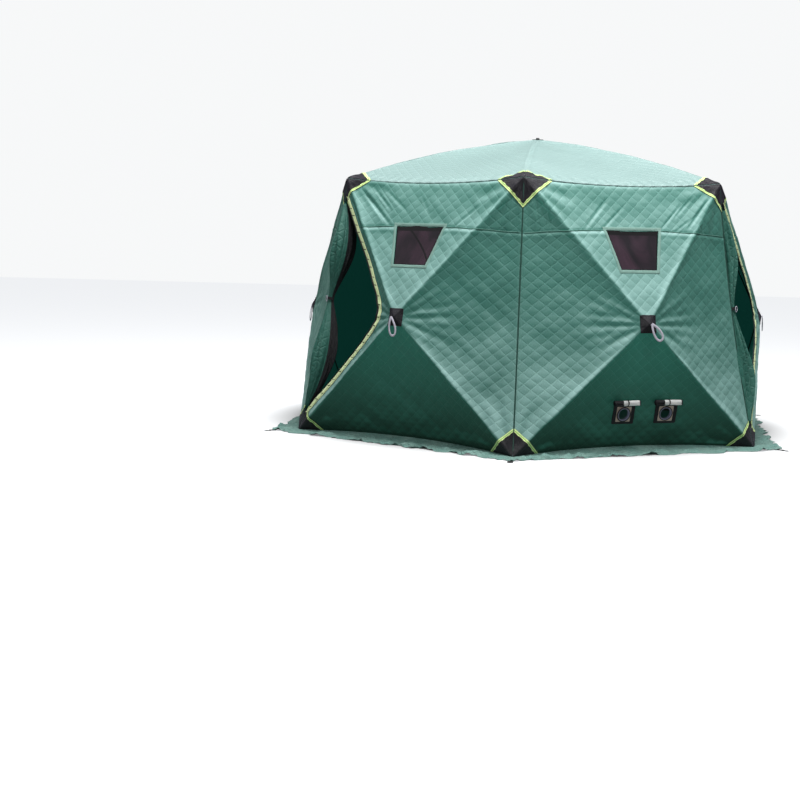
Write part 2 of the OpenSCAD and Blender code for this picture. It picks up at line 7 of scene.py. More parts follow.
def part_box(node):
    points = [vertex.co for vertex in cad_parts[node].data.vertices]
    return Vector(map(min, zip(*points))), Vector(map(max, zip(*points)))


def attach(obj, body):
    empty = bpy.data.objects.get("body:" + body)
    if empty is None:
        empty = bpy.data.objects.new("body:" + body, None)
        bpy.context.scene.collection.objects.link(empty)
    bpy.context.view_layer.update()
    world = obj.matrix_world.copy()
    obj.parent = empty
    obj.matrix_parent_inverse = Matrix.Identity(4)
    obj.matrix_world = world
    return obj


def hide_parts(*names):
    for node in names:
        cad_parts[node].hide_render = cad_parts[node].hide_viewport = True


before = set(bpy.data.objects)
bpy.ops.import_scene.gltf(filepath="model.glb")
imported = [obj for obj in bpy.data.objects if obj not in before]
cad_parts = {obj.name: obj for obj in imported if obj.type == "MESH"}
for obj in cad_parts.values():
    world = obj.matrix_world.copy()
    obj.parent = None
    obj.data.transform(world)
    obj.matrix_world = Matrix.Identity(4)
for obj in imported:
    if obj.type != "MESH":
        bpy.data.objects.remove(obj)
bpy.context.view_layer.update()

# ---- Quilted walls ----
# Six insulated walls of polyester cloth, stitched through the wadding in diamonds and lined with dark
# plain cloth. Each is one panel that a hub pushes out in its middle, so that it stands as four facets.

WALLS = ["front_right", "right", "back_right", "back_left", "left", "front_left"]
DOOR_WALLS = (1, 5)
VENT_WALL = 0
WALL_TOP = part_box("wall_right")[1]
HUB_R, EAVE_Z, BASE_R = WALL_TOP[0], WALL_TOP[2], 2 * (WALL_TOP[1] + 0.0002)
EAVE_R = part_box("roof_right")[1][0] / math.cos(math.pi / 6) + 0.0064
HUB_Z = (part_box("hub_patches")[0][2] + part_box("hub_patches")[1][2]) / 2
EAVE_BOW, EAVE_SAG, BASE_BOW, BASE_LIFT, SEAM_BOW = 0.010, 0.040, 0.110, 0.030, 0.035
WALL_THICK = 0.006
COS30, SIN30 = math.cos(math.pi / 6), 0.5

HUB = np.array([HUB_R, 0.0, HUB_Z])
CORNERS = np.array([[EAVE_R * COS30, -EAVE_R * SIN30, EAVE_Z], [EAVE_R * COS30, EAVE_R * SIN30, EAVE_Z],
                    [BASE_R * COS30, BASE_R * SIN30, 0.0], [BASE_R * COS30, -BASE_R * SIN30, 0.0]])
PUSHES = np.array([[-EAVE_BOW, 0, -EAVE_SAG], [-SEAM_BOW * COS30, -SEAM_BOW * SIN30, 0],
                   [-BASE_BOW, 0, BASE_LIFT], [-SEAM_BOW * COS30, SEAM_BOW * SIN30, 0]])


def wall_rim(side, t):
    """The wall's outline: a straight line from corner to corner, pushed in or up by 4t(1-t).
    Side 0 is the eave, 1 the right seam, 2 the base and 3 the left seam, seen from outside."""
    t = np.asarray(t)[..., None]
    start, end = CORNERS[side], CORNERS[(side + 1) % 4]
    return start + t * (end - start) + 4 * t * (1 - t) * PUSHES[side]


def same_shape(*values):
    """The values as arrays of one shape."""
    return np.broadcast_arrays(*[np.asarray(v, float) for v in values])


def wall_surface(u, v):
    """Four flat facets between the hub and the rim: hub + s (rim(t) - hub). u runs to the right and v up,
    both from -1 to 1, and s is the larger of their sizes."""
    u, v = same_shape(u, v)
    s = np.maximum(np.abs(u), np.abs(v))
    side = np.where(np.abs(u) > np.abs(v), np.where(u > 0, 1, 3), np.where(v > 0, 0, 2))
    along = np.choose(side, [u, -v, -u, v]) / np.maximum(s, 1e-9)
    t = (1 + along) / 2
    return HUB + s[..., None] * (wall_rim(side, t) - HUB)


def facing(surface, u, v, step=0.004):
    """The surface's outward normal: the cross product of its slopes to the right and upwards."""
    n = np.cross(surface(u + step, v) - surface(u - step, v), surface(u, v + step) - surface(u, v - step))
    return n / np.linalg.norm(n, axis=-1, keepdims=True)


def on_wall(y, z):
    """The u and v of the wall's point with this y and z, by Newton's steps from a flat guess."""
    y, z = same_shape(y, z)
    u, v = y / 0.92, (z - HUB_Z) / 1.0
    step = 1e-4
    for _ in range(14):
        p = wall_surface(u, v)
        du = (wall_surface(u + step, v) - wall_surface(u - step, v)) / (2 * step)
        dv = (wall_surface(u, v + step) - wall_surface(u, v - step)) / (2 * step)
        miss_y, miss_z = y - p[..., 1], z - p[..., 2]
        det = du[..., 1] * dv[..., 2] - dv[..., 1] * du[..., 2]
        u = u + (miss_y * dv[..., 2] - dv[..., 1] * miss_z) / det
        v = v + (du[..., 1] * miss_z - du[..., 2] * miss_y) / det
    return u, v


def turned(points, degrees):
    """Points turned about the upright axis: x cos a - y sin a, x sin a + y cos a, z."""
    a = math.radians(degrees)
    x, y, z = np.moveaxis(np.asarray(points), -1, 0)
    return np.stack([x * math.cos(a) - y * math.sin(a), x * math.sin(a) + y * math.cos(a), z], -1)


def wall_turn(k):
    """The way wall k faces, in degrees from +X."""
    return -60 + 60 * k


def pairs(*values):
    """The values side by side in a last axis, stretched to one shape."""
    return np.stack(np.broadcast_arrays(*values), -1)


def unit(x):
    """The value, held between 0 and 1."""
    return np.clip(x, 0, 1)


def hump(x, width):
    """A smooth rise of height 1 about x = 0: exp(-(x / width)^2)."""
    return np.exp(-(x / width) ** 2)


def uneven(x, y, seed, length):
    """A soft swell between about -1 and 1: six plane waves of seeded direction, length and phase."""
    rng = np.random.default_rng(seed)
    total = 0.0
    for _ in range(6):
        way, rate = rng.uniform(0, 2 * np.pi), rng.uniform(0.6, 1.5) / length
        phase = rng.uniform(0, 2 * np.pi)
        total = total + np.sin(2 * np.pi * rate * (x * np.cos(way) + y * np.sin(way)) + phase)
    return total / 2.6


def crease(x, y, start, end, width, depth):
    """A fold along a line: depth (1 - 1.6 d^2) exp(-d^2) across it, where d is the distance in widths,
    times sin(pi a)^0.7 along it, where a is the share of its length."""
    (x0, y0), (x1, y1) = start, end
    length = math.hypot(x1 - x0, y1 - y0)
    along = ((x - x0) * (x1 - x0) + (y - y0) * (y1 - y0)) / length ** 2
    d = ((x - x0) * (y1 - y0) - (y - y0) * (x1 - x0)) / length / width
    fade = np.sin(np.pi * unit(along)) ** 0.7
    return depth * (1 - 1.6 * d * d) * np.exp(-d * d) * fade


QUILT_PITCH, QUILT_LEAN = 0.061, math.radians(40)
QUILT_PUFF = 0.0010
# The folds that the tension leaves, as (y0, z0), (y1, z1), half width, depth
PLAIN_FOLDS = [((-0.70, 1.88), (-0.42, 1.64), 0.022, -0.006), ((0.70, 1.88), (0.42, 1.64), 0.022, -0.006),
               ((-0.80, 0.22), (-0.55, 0.42), 0.03, -0.005), ((0.80, 0.22), (0.55, 0.42), 0.03, -0.005)]
WALL_FOLDS = {
    5: [((-0.70, 1.93), (-0.26, 1.60), 0.030, -0.014), ((-0.60, 1.95), (-0.30, 1.72), 0.022, -0.010),
        ((-0.76, 1.86), (-0.50, 1.52), 0.026, -0.010), ((-0.48, 1.93), (-0.16, 1.72), 0.024, -0.007),
        ((0.30, 1.60), (0.52, 1.80), 0.024, -0.005), ((0.66, 1.84), (0.56, 1.62), 0.02, -0.005),
        ((-0.10, 1.88), (0.06, 1.70), 0.022, -0.004), ((0.74, 1.80), (0.68, 1.62), 0.016, -0.005)],
    0: [((-0.76, 1.86), (-0.74, 1.61), 0.015, -0.009), ((-0.69, 1.88), (-0.66, 1.61), 0.017, -0.009),
        ((-0.61, 1.90), (-0.57, 1.61), 0.017, -0.007), ((-0.53, 1.90), (-0.47, 1.62), 0.018, -0.005),
        ((-0.42, 1.60), (-0.14, 1.86), 0.026, -0.008), ((-0.30, 1.58), (-0.02, 1.80), 0.022, -0.005),
        ((0.24, 1.62), (0.46, 1.82), 0.018, -0.007), ((0.31, 1.58), (0.54, 1.72), 0.016, -0.006),
        ((0.72, 1.88), (0.46, 1.62), 0.024, -0.010), ((0.62, 1.92), (0.36, 1.70), 0.020, -0.007)],
}


def quilt_count(x, y):
    """How many stitch lines lie between a point and the middle, for the two ways the lines lean."""
    c, s = math.cos(QUILT_LEAN), math.sin(QUILT_LEAN)
    return (y * c - x * s) / QUILT_PITCH, (y * c + x * s) / QUILT_PITCH


def quilt_puff(x, y):
    """The wadding between the stitch lines stands up by (sin^2 sin^2)^0.6."""
    p, q = quilt_count(x, y)
    return QUILT_PUFF * (np.sin(np.pi * p) ** 2 * np.sin(np.pi * q) ** 2) ** 0.6


SWELL, SWELL_L, DIMPLE, DIMPLE_L = 0.0035, 0.55, 0.0012, 0.17     # the wadding: height and length of each
RIDGE_RISE, RIDGE_HALF = 0.0055, 0.026                 # the rods under the ridges
HUB_RISE, HUB_HALF = 0.010, 0.045                      # the hub under the middle
PLEAT_RISE, CORNER_R = 0.0028, 0.30                    # the pleats round a corner: height and distance
FOLD_DEPTH, FOLD_WIDTH = 0.46, 0.64                    # shares of the depths and half widths given above
STAY_Z, CORD_Z, STAY_SAG = 1.614, 1.617, 0.030         # the stay's stitching, its cord, and their sag


def sagging(z, y):
    """The height of a line that sags by STAY_SAG at 0.8 m to either side: z - STAY_SAG (y / 0.8)^2."""
    return z - STAY_SAG * (y / 0.8) ** 2


def wall_relief(k, u, v, p):
    """How far wall k's cloth stands out of its surface: the quilting, the swell of the wadding, the rods
    under the ridges, the pull of the hub and the corners, the folds, and the pinch at the seams."""
    y, z = p[..., 1], p[..., 2]
    up = z - HUB_Z
    s = np.maximum(np.abs(u), np.abs(v))
    near_seam = hump(1 - np.abs(u), 0.05)
    h = quilt_puff(y, up) * (1 - 0.6 * near_seam)
    inside = unit((1 - s) * 8)
    h = h + inside * (SWELL * uneven(y, z, 11 + k, SWELL_L) + DIMPLE * uneven(y, z, 31 + k, DIMPLE_L))
    ridge = (np.abs(u) - np.abs(v)) * 0.66
    h = h + RIDGE_RISE * hump(ridge, RIDGE_HALF) * unit(s * 6)
    out, way = np.hypot(y, up), np.arctan2(up, y)
    h = h + 0.0026 * hump(out - 0.20, 0.11) * np.cos(way) ** 2 * np.sin(17 * way + k)
    h = h + 0.0015 * hump(out - 0.34, 0.14) * np.cos(way) ** 4 * np.sin(29 * way + 2.0 * k)
    h = h + HUB_RISE * hump(out, HUB_HALF)
    for side in (-1, 1):
        for y0, z0 in ((EAVE_R * SIN30, EAVE_Z), (BASE_R * SIN30, 0.0)):
            dy, dz = (y - side * y0) * side, z - z0
            r, a = np.hypot(dy, dz), np.arctan2(dz, -dy)
            h = h + PLEAT_RISE * hump(r - CORNER_R, 0.10) * np.sin(17 * a + 2 * k + side)
    for start, end, width, depth in WALL_FOLDS.get(k, PLAIN_FOLDS):
        h = h + FOLD_DEPTH * crease(y, z, start, end, FOLD_WIDTH * width, depth) * inside
    seam_z = sagging(STAY_Z, y)
    h = h - 0.0028 * hump(z - seam_z, 0.010) + 0.002 * hump(z - seam_z + 0.025, 0.016)
    return h - 0.004 * hump((1 - s) * 0.95, 0.010)


def wall_skin(k, u, v, lift=0.0):
    """Wall k's cloth in place: its surface, moved out along its normal by the relief and by lift."""
    u, v = same_shape(u, v)
    p = wall_surface(u, v)
    out = wall_relief(k, u, v, p) + lift
    return turned(p + facing(wall_surface, u, v) * out[..., None], wall_turn(k))


def outward(points, faces):
    """The faces, turned round if the closed shape's signed volume, a . (b x c) / 6 summed, is negative."""
    total = 0.0
    for f in faces:
        for i in range(1, f.shape[1] - 1):
            a, b, c = points[f[:, 0]], points[f[:, i]], points[f[:, i + 1]]
            total += np.einsum("ij,ij->", a - points[0], np.cross(b - points[0], c - points[0]))
    return [f[:, ::-1] for f in faces] if total < 0 else faces


def piece(name, parts, materials, replaces=(), sharp=50):
    """Joins parts, each (points, faces, uv, material numbers), into one mesh that rides on the hut."""
    points, loops, starts, numbers, uvs = [], [], [], [], []
    base = count = 0
    for part_points, faces, uv, kinds in parts:
        for f, kind in zip(outward(part_points, faces), kinds):
            loops.append((f + base).ravel())
            starts.append(count + np.arange(len(f)) * f.shape[1])
            numbers.append(np.full(len(f), kind))
            count += f.size
        points.append(part_points)
        uvs.append(uv)
        base += len(part_points)
    points, loops, uvs = np.concatenate(points), np.concatenate(loops), np.concatenate(uvs)
    starts, numbers = np.concatenate(starts), np.concatenate(numbers)
    mesh = bpy.data.meshes.new(name)
    mesh.vertices.add(len(points))
    mesh.vertices.foreach_set("co", points.astype(np.float32).ravel())
    mesh.loops.add(len(loops))
    mesh.loops.foreach_set("vertex_index", loops.astype(np.int32))
    mesh.polygons.add(len(starts))
    mesh.polygons.foreach_set("loop_start", starts.astype(np.int32))
    mesh.polygons.foreach_set("material_index", numbers.astype(np.int32))
    mesh.polygons.foreach_set("use_smooth", np.ones(len(starts), bool))
    mesh.update(calc_edges=True)
    mesh.validate()
    mesh.uv_layers.new(name="cloth").data.foreach_set("uv", uvs[loops].astype(np.float32).ravel())
    mesh.set_sharp_from_angle(angle=math.radians(sharp))
    obj = bpy.data.objects.new(name, mesh)
    bpy.context.scene.collection.objects.link(obj)
    for m in materials:
        mesh.materials.append(m)
    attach(obj, "root")
    if replaces:
        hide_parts(*replaces)
    return obj


def grid_quads(at):
    """The quads of a grid of vertex numbers, its columns to the right and its rows upwards."""
    return np.stack([at[:-1, :-1], at[:-1, 1:], at[1:, 1:], at[1:, :-1]], -1).reshape(-1, 4)


def closed_sheet(top, under, uv=None, kind=0, under_kind=None):
    """Two grids of points, one under the other, joined round their rim into one closed part."""
    rows, cols = top.shape[:2]
    n = rows * cols
    at = np.arange(n).reshape(rows, cols)
    loop = np.concatenate([at[0, :-1], at[:-1, -1], at[-1, :0:-1], at[:0:-1, 0]])
    nxt = np.roll(loop, -1)
    quads = grid_quads(at)
    rim = np.stack([nxt, loop, loop + n, nxt + n], -1)
    if uv is None:
        uv = np.stack(np.meshgrid(np.linspace(0, 1, cols), np.linspace(0, 1, rows)), -1)
    uv = uv.reshape(-1, 2)
    under_kind = kind if under_kind is None else under_kind
    return (np.concatenate([top.reshape(-1, 3), under.reshape(-1, 3)]), [quads, quads[:, ::-1] + n, rim],
            np.concatenate([uv, uv]), [kind, under_kind, kind])


def lined_shell(skin, lining, keep, uv):
    """A finely made skin over a lining with every second row and column, joined round every edge of the
    squares that keep marks. Each rim square has the skin's middle point, so no edge is left open."""
    rows, cols = skin.shape[:2]
    fine = np.arange(rows * cols).reshape(rows, cols)
    coarse = rows * cols + np.arange(lining.shape[0] * lining.shape[1]).reshape(lining.shape[:2])
    kept = np.repeat(np.repeat(keep, 2, 0), 2, 1)
    skin_quads = grid_quads(fine)[kept.ravel()]
    lining_quads = grid_quads(coarse)[keep.ravel()][:, ::-1]
    padded = np.pad(keep, 1)
    rims = []
    i, j = np.indices(keep.shape)
    # Each side of a square: its start and end corners, and the neighbour across it
    for (ai, aj), (bi, bj), (ni, nj) in (((0, 0), (0, 1), (-1, 0)), ((0, 1), (1, 1), (0, 1)),
                                         ((1, 1), (1, 0), (1, 0)), ((1, 0), (0, 0), (0, -1))):
        bare = keep & ~padded[1 + ni:1 + ni + keep.shape[0], 1 + nj:1 + nj + keep.shape[1]]
        r, c = i[bare], j[bare]
        a, b = fine[2 * (r + ai), 2 * (c + aj)], fine[2 * (r + bi), 2 * (c + bj)]
        m = fine[2 * r + ai + bi, 2 * c + aj + bj]
        under_a, under_b = coarse[r + ai, c + aj], coarse[r + bi, c + bj]
        rims += [np.stack(corner, -1) for corner in ((m, a, under_a), (m, under_a, under_b), (b, m, under_b))]
    faces = [skin_quads, lining_quads, np.concatenate(rims)]
    points = np.concatenate([skin.reshape(-1, 3), lining.reshape(-1, 3)])
    uv = np.concatenate([uv.reshape(-1, 2), uv[::2, ::2].reshape(-1, 2)])
    used = np.zeros(len(points), bool)
    for f in faces:
        used[f.ravel()] = True
    renumber = np.cumsum(used) - 1
    return points[used], [renumber[f] for f in faces], uv[used], [0, 1, 0]


# -- Cloth materials --

def add(tree, kind, inputs=None, **settings):
    """Adds a shader node with these settings; inputs hold values, or sockets to link."""
    made = tree.nodes.new("ShaderNode" + kind)
    for key, value in settings.items():
        setattr(made, key, value)
    for key, value in (inputs or {}).items():
        if isinstance(value, bpy.types.NodeSocket):
            tree.links.new(value, made.inputs[key])
        else:
            made.inputs[key].default_value = value
    return made


def sums(tree, operation, *values):
    """One Math node's result."""
    return add(tree, "Math", dict(enumerate(values)), operation=operation).outputs[0]


def apart(tree, first, second):
    """How far two values are from each other."""
    return sums(tree, "ABSOLUTE", sums(tree, "SUBTRACT", first, second))


def ramped(tree, value, low, high, at_low, at_high, smooth=False):
    """A value carried from the range low to high onto the range at_low to at_high, and held past its ends."""
    kind = "SMOOTHSTEP" if smooth else "LINEAR"
    ends = {0: value, 1: low, 2: high, 3: at_low, 4: at_high}
    return add(tree, "MapRange", ends, interpolation_type=kind).outputs[0]


def mixed(tree, share, first, second):
    """A colour between the first, at share 0, and the second, at share 1."""
    return add(tree, "Mix", {0: share, 6: first, 7: second}, data_type="RGBA").outputs[2]


def new_group(name, inputs, outputs):
    """A shader node group with named sockets; returns it, its input node and its output node."""
    tree = bpy.data.node_groups.new(name, "ShaderNodeTree")
    for in_out, sockets in (("INPUT", inputs), ("OUTPUT", outputs)):
        for socket, (kind, default) in sockets.items():
            made = tree.interface.new_socket(name=socket, in_out=in_out, socket_type="NodeSocket" + kind)
            if default is not None:
                made.default_value = default
    return tree, tree.nodes.new("NodeGroupInput"), tree.nodes.new("NodeGroupOutput")


def use_group(tree, group, inputs):
    """A group node in a material, with its inputs set or linked."""
    return add(tree, "Group", inputs, node_tree=group)


def shade(r, g, b):
    """A colour as seen, 0 to 255, made linear for a shader."""
    linear = [((c / 255 + 0.055) / 1.055) ** 2.4 if c > 10 else c / 255 / 12.92 for c in (r, g, b)]
    return (*linear, 1.0)


# The stitch lines: how deep the cloth is drawn in beside them, the band along each line that gets painted
# shade, and where the thread lies, which gets a painted highlight
quilting, given, result = new_group("quilted_stitching", {
    "Vector": ("Vector", None), "Pitch": ("Float", QUILT_PITCH), "Lean": ("Float", QUILT_LEAN)},
    {"Height": ("Float", None), "Line": ("Float", None), "Thread": ("Float", None)})
xyz = add(quilting, "SeparateXYZ", {0: given.outputs["Vector"]})
lean_c = sums(quilting, "COSINE", given.outputs["Lean"])
lean_s = sums(quilting, "SINE", given.outputs["Lean"])
upward = sums(quilting, "MULTIPLY", xyz.outputs[1], lean_c)
across = sums(quilting, "MULTIPLY", xyz.outputs[0], lean_s)
counts = [sums(quilting, "DIVIDE", sums(quilting, way, upward, across), given.outputs["Pitch"])
          for way in ("SUBTRACT", "ADD")]
nearest = [sums(quilting, "PINGPONG", c, 0.5) for c in counts]
line_gap = sums(quilting, "MINIMUM", *nearest)
rise = ramped(quilting, line_gap, 0.0, 0.14, 0.0, 1.0, smooth=True)
mark = ramped(quilting, line_gap, 0.026, 0.080, 1.0, 0.0, smooth=True)
thin = ramped(quilting, line_gap, 0.014, 0.042, 1.0, 0.0)
beats = [sums(quilting, "FRACT", sums(quilting, "MULTIPLY", c, 11.0)) for c in counts]
dash = sums(quilting, "MINIMUM", *[sums(quilting, "LESS_THAN", beat, 0.72) for beat in beats])
quilting.links.new(rise, result.inputs["Height"])
quilting.links.new(mark, result.inputs["Line"])
quilting.links.new(sums(quilting, "MULTIPLY", thin, dash), result.inputs["Thread"])

# The plain weave: warp and weft as two crossed waves
weave, given, result = new_group("plain_weave", {"Vector": ("Vector", None), "Threads": ("Float", 900.0)},
                                 {"Height": ("Float", None)})
xyz = add(weave, "SeparateXYZ", {0: given.outputs["Vector"]})
waves = [sums(weave, "SINE", sums(weave, "MULTIPLY", xyz.outputs[i], given.outputs["Threads"]))
         for i in (0, 1)]
weave.links.new(sums(weave, "ADD", sums(weave, "MULTIPLY", *waves), 1.0), result.inputs["Height"])

# Fading and soiling: the colour wanders a little, and grey dust lies low down
fading, given, result = new_group("fade_and_dust", {
    "Vector": ("Vector", None), "Color": ("Color", (0.1, 0.3, 0.2, 1)), "Fade": ("Float", 0.15),
    "Scale": ("Float", 2.0), "Dust": ("Float", 0.1), "Dust Height": ("Float", 0.25)},
    {"Color": ("Color", None), "Patch": ("Float", None)})
cloud = add(fading, "TexNoise", {"Vector": given.outputs["Vector"], "Scale": given.outputs["Scale"],
                                 "Detail": 5.0, "Roughness": 0.6})
swing = sums(fading, "MULTIPLY", sums(fading, "SUBTRACT", cloud.outputs[0], 0.5), given.outputs["Fade"])
lightness = sums(fading, "ADD", sums(fading, "MULTIPLY", swing, 2.0), 1.0)
strength = sums(fading, "SUBTRACT", 1.0, swing)
brighter = add(fading, "HueSaturation", {"Value": lightness, "Saturation": strength,
                                         "Color": given.outputs["Color"]})
place = add(fading, "TexCoord")
level = add(fading, "SeparateXYZ", {0: place.outputs["Object"]})
speck = add(fading, "TexNoise", {"Vector": place.outputs["Object"], "Scale": 9.0, "Detail": 6.0})
lowness = ramped(fading, level.outputs[2], 0.0, given.outputs["Dust Height"], 1.0, 0.0, smooth=True)
dusty = sums(fading, "MULTIPLY", sums(fading, "MULTIPLY", lowness, speck.outputs[0]), given.outputs["Dust"])
dusted = mixed(fading, dusty, brighter.outputs[0], (0.42, 0.44, 0.40, 1))
fading.links.new(dusted, result.inputs["Color"])
fading.links.new(cloud.outputs[0], result.inputs["Patch"])


# Painted sky light and shade: cloth that faces the sky is painted paler, as painted light, and cloth that
# faces down is painted a deeper colour, darkest low down by the ground, as painted shade
LOW_LIFT = 0.20               # the tilt counts this much higher for each metre below the hub
painted_light_and_shade, given, result = new_group("painted_sky_light_and_shade", {
    "Color": ("Color", (0.1, 0.3, 0.2, 1)), "Pale": ("Color", (0.3, 0.5, 0.45, 1)),
    "Deep": ("Color", (0.02, 0.2, 0.14, 1)), "Darkest": ("Color", (0.01, 0.05, 0.04, 1)),
    "Low Lift": ("Float", LOW_LIFT)}, {"Color": ("Color", None)})
place = add(painted_light_and_shade, "TexCoord")
tilt = add(painted_light_and_shade, "SeparateXYZ", {0: place.outputs["Normal"]}).outputs[2]
rise = add(painted_light_and_shade, "SeparateXYZ", {0: place.outputs["Object"]}).outputs[2]
gain = sums(painted_light_and_shade, "MULTIPLY", sums(painted_light_and_shade, "SUBTRACT", 0.95, rise), given.outputs["Low Lift"])
lifted = sums(painted_light_and_shade, "ADD", tilt, gain)
paler = ramped(painted_light_and_shade, lifted, 0.06, 0.62, 0.0, 1.0, smooth=True)
under = ramped(painted_light_and_shade, tilt, 0.04, -0.30, 0.0, 1.0, smooth=True)
near_ground = ramped(painted_light_and_shade, rise, 0.95, 0.05, 0.0, 1.0)
sky_lit = mixed(painted_light_and_shade, paler, given.outputs["Color"], given.outputs["Pale"])
shaded = mixed(painted_light_and_shade, under, sky_lit, given.outputs["Deep"])
deepened = mixed(painted_light_and_shade, sums(painted_light_and_shade, "MULTIPLY", under, near_ground), shaded, given.outputs["Darkest"])
painted_light_and_shade.links.new(deepened, result.inputs["Color"])


# How far the painted shade along a stitch line darkens the cloth, how strong the painted highlight on its
# thread is, and how deep it draws the cloth in
LINE_SHADE_SHARE, THREAD_HIGHLIGHT_SHARE, LINE_DEPTH = 0.14, 0.85, 0.0011


def new_material(name):
    """A material with its tree and its shader."""
    material = bpy.data.materials.new(name)
    material.use_nodes = True
    return material, material.node_tree, material.node_tree.nodes["Principled BSDF"]


def settle(shader, values):
    """Gives a shader's inputs their plain values."""
    for key, value in values.items():
        shader.inputs[key].default_value = value


def cloth(name, colour, quilted=0.0, fade=0.12, dust=0.15, roughness=0.55, sheen=0.25, weave_depth=0.0004,
          threads=900.0, crumple=0.0, crumple_scale=7.0, source="UV", tint=None, specular=0.4,
          pale=None, deep=None, darkest=None):
    """A woven cloth: its colour fades and gathers dust, its quilting and crumples are in the bump. Quilted
    cloth gets painted shade along its stitch lines and a painted highlight on their thread; given pale, deep
    and darkest colours it is painted paler where it faces the sky and deeper where it faces down, as painted
    light and shade.
    """
    material, tree, shader = new_material(name)
    place = add(tree, "TexCoord").outputs[source]
    where = add(tree, "TexCoord").outputs["Object"]
    base = use_group(tree, fading, {"Vector": where, "Color": colour, "Fade": fade, "Dust": dust})
    colour_out = base.outputs["Color"]
    if pale:
        colour_out = use_group(tree, painted_light_and_shade, {"Color": colour_out, "Pale": pale, "Deep": deep,
                                                 "Darkest": darkest, "Low Lift": LOW_LIFT}).outputs["Color"]
    threads_node = use_group(tree, weave, {"Vector": place, "Threads": threads})
    height = sums(tree, "MULTIPLY", threads_node.outputs["Height"], weave_depth)
    if quilted:
        lines = use_group(tree, quilting, {"Vector": place})
        drawn = sums(tree, "MULTIPLY", lines.outputs["Height"], LINE_DEPTH * quilted)
        height = sums(tree, "ADD", height, drawn)
        # Painted shade darkens the band along each stitch line, and a painted highlight brightens its thread
        # where the stitched ridge catches the light
        shadow = add(tree, "HueSaturation", {"Value": 0.62, "Saturation": 1.1, "Color": colour_out})
        dim = sums(tree, "MULTIPLY", lines.outputs["Line"], LINE_SHADE_SHARE * quilted)
        darker = mixed(tree, dim, colour_out, shadow.outputs[0])
        highlighted = add(tree, "HueSaturation", {"Value": 1.90, "Saturation": 0.86, "Color": colour_out})
        glint = sums(tree, "MULTIPLY", lines.outputs["Thread"], THREAD_HIGHLIGHT_SHARE)
        colour_out = mixed(tree, glint, darker, highlighted.outputs[0])
    if crumple:
        folds = add(tree, "TexNoise", {"Vector": where, "Scale": crumple_scale, "Detail": 6.0,
                                       "Roughness": 0.55, "Distortion": 0.8})
        height = sums(tree, "ADD", height, sums(tree, "MULTIPLY", folds.outputs[0], crumple))
    bump = add(tree, "Bump", {"Strength": 1.0, "Distance": 1.0, "Height": height})
    tree.links.new(colour_out, shader.inputs["Base Color"])
    tree.links.new(bump.outputs[0], shader.inputs["Normal"])
    rough = ramped(tree, base.outputs["Patch"], 0.3, 0.7, roughness - 0.06, roughness + 0.06)
    tree.links.new(rough, shader.inputs["Roughness"])
    paler = (*[min(1, c * 2 + 0.25) for c in colour[:3]], 1.0)
    settle(shader, {"Sheen Weight": sheen, "Sheen Roughness": 0.4, "Sheen Tint": tint or paler,
                    "Specular IOR Level": specular})
    return material


def colour_of(material):
    """A material's tree, its shader and the socket that colours it, so that marks can be laid over."""
    shader = material.node_tree.nodes["Principled BSDF"]
    return material.node_tree, shader, shader.inputs["Base Color"].links[0].from_socket


# The walls' cloth is painted paler where it faces the sky, as painted light, and deeper where it faces down
# and darkest low by the ground, as painted shade
wall_cloth = cloth("quilted_green_cloth", shade(58, 116, 104), quilted=1.0, roughness=0.56, sheen=0.30,
                   specular=0.45, pale=shade(138, 175, 170), deep=shade(58, 158, 136),
                   darkest=shade(8, 62, 46))
lining_cloth = cloth("dark_lining_cloth", shade(40, 104, 92), roughness=0.62, sheen=0.1, fade=0.2,
                     crumple=0.01, crumple_scale=4.0)
# The lining glows faintly, a painted glow for the little daylight that comes through the walls
settle(colour_of(lining_cloth)[1], {"Emission Color": shade(36, 122, 108), "Emission Strength": 0.10})

# The window's hole: its head and foot as heights over the ground, and the width of each
WINDOW_TOP, WINDOW_LOW, WINDOW_HEAD, WINDOW_FOOT = STAY_Z, 1.329, 0.440, 0.300
HALF = 96
WINDOW_ROWS, WINDOW_COLS = (34, 62), 20
corner_u, corner_v = on_wall([WINDOW_FOOT / 2, WINDOW_HEAD / 2], [WINDOW_LOW, WINDOW_TOP])
WINDOW_U, WINDOW_V = corner_u.tolist(), corner_v.tolist()
AXIS = np.interp(np.arange(HALF + 1), [0, *WINDOW_ROWS, HALF], [0, *WINDOW_V, 1])
AXIS = np.concatenate([-AXIS[:0:-1], AXIS])


def window_warp(u, v):
    """Moves the columns beside the window so that one of them runs along its leaning side: the move fades
    to nothing at the middle, towards the ridge, and above and below the window."""
    seam = AXIS[HALF + WINDOW_COLS]
    target = np.interp(v, WINDOW_V, WINDOW_U)
    fade = np.interp(v, [0.29, WINDOW_V[0], WINDOW_V[1], 0.80], [0, 1, 1, 0])
    stop = np.clip(np.minimum(0.36, 0.97 * v), seam + 0.01, None)
    size = np.abs(u)
    share = np.where(size < seam, size / seam, unit((stop - size) / (stop - seam)))
    return u + np.sign(u) * (target - seam) * fade * share


ZIP_VERTEX = 0.1149           # the door's zip crosses the wall's middle line at twice this u


def door_warp(u, v):
    """Draws the columns left of the hub in to the zip: u = -(c + sqrt(v^2 + c^2)), a hyperbola."""
    edge = np.minimum(1, ZIP_VERTEX + np.sqrt(v * v + ZIP_VERTEX ** 2))
    size, lim = np.abs(u), np.abs(v)
    drawn = -(lim + (size - lim) * (edge - lim) / np.maximum(1 - lim, 1e-9))
    return np.where((u < 0) & (size > lim), drawn, u)


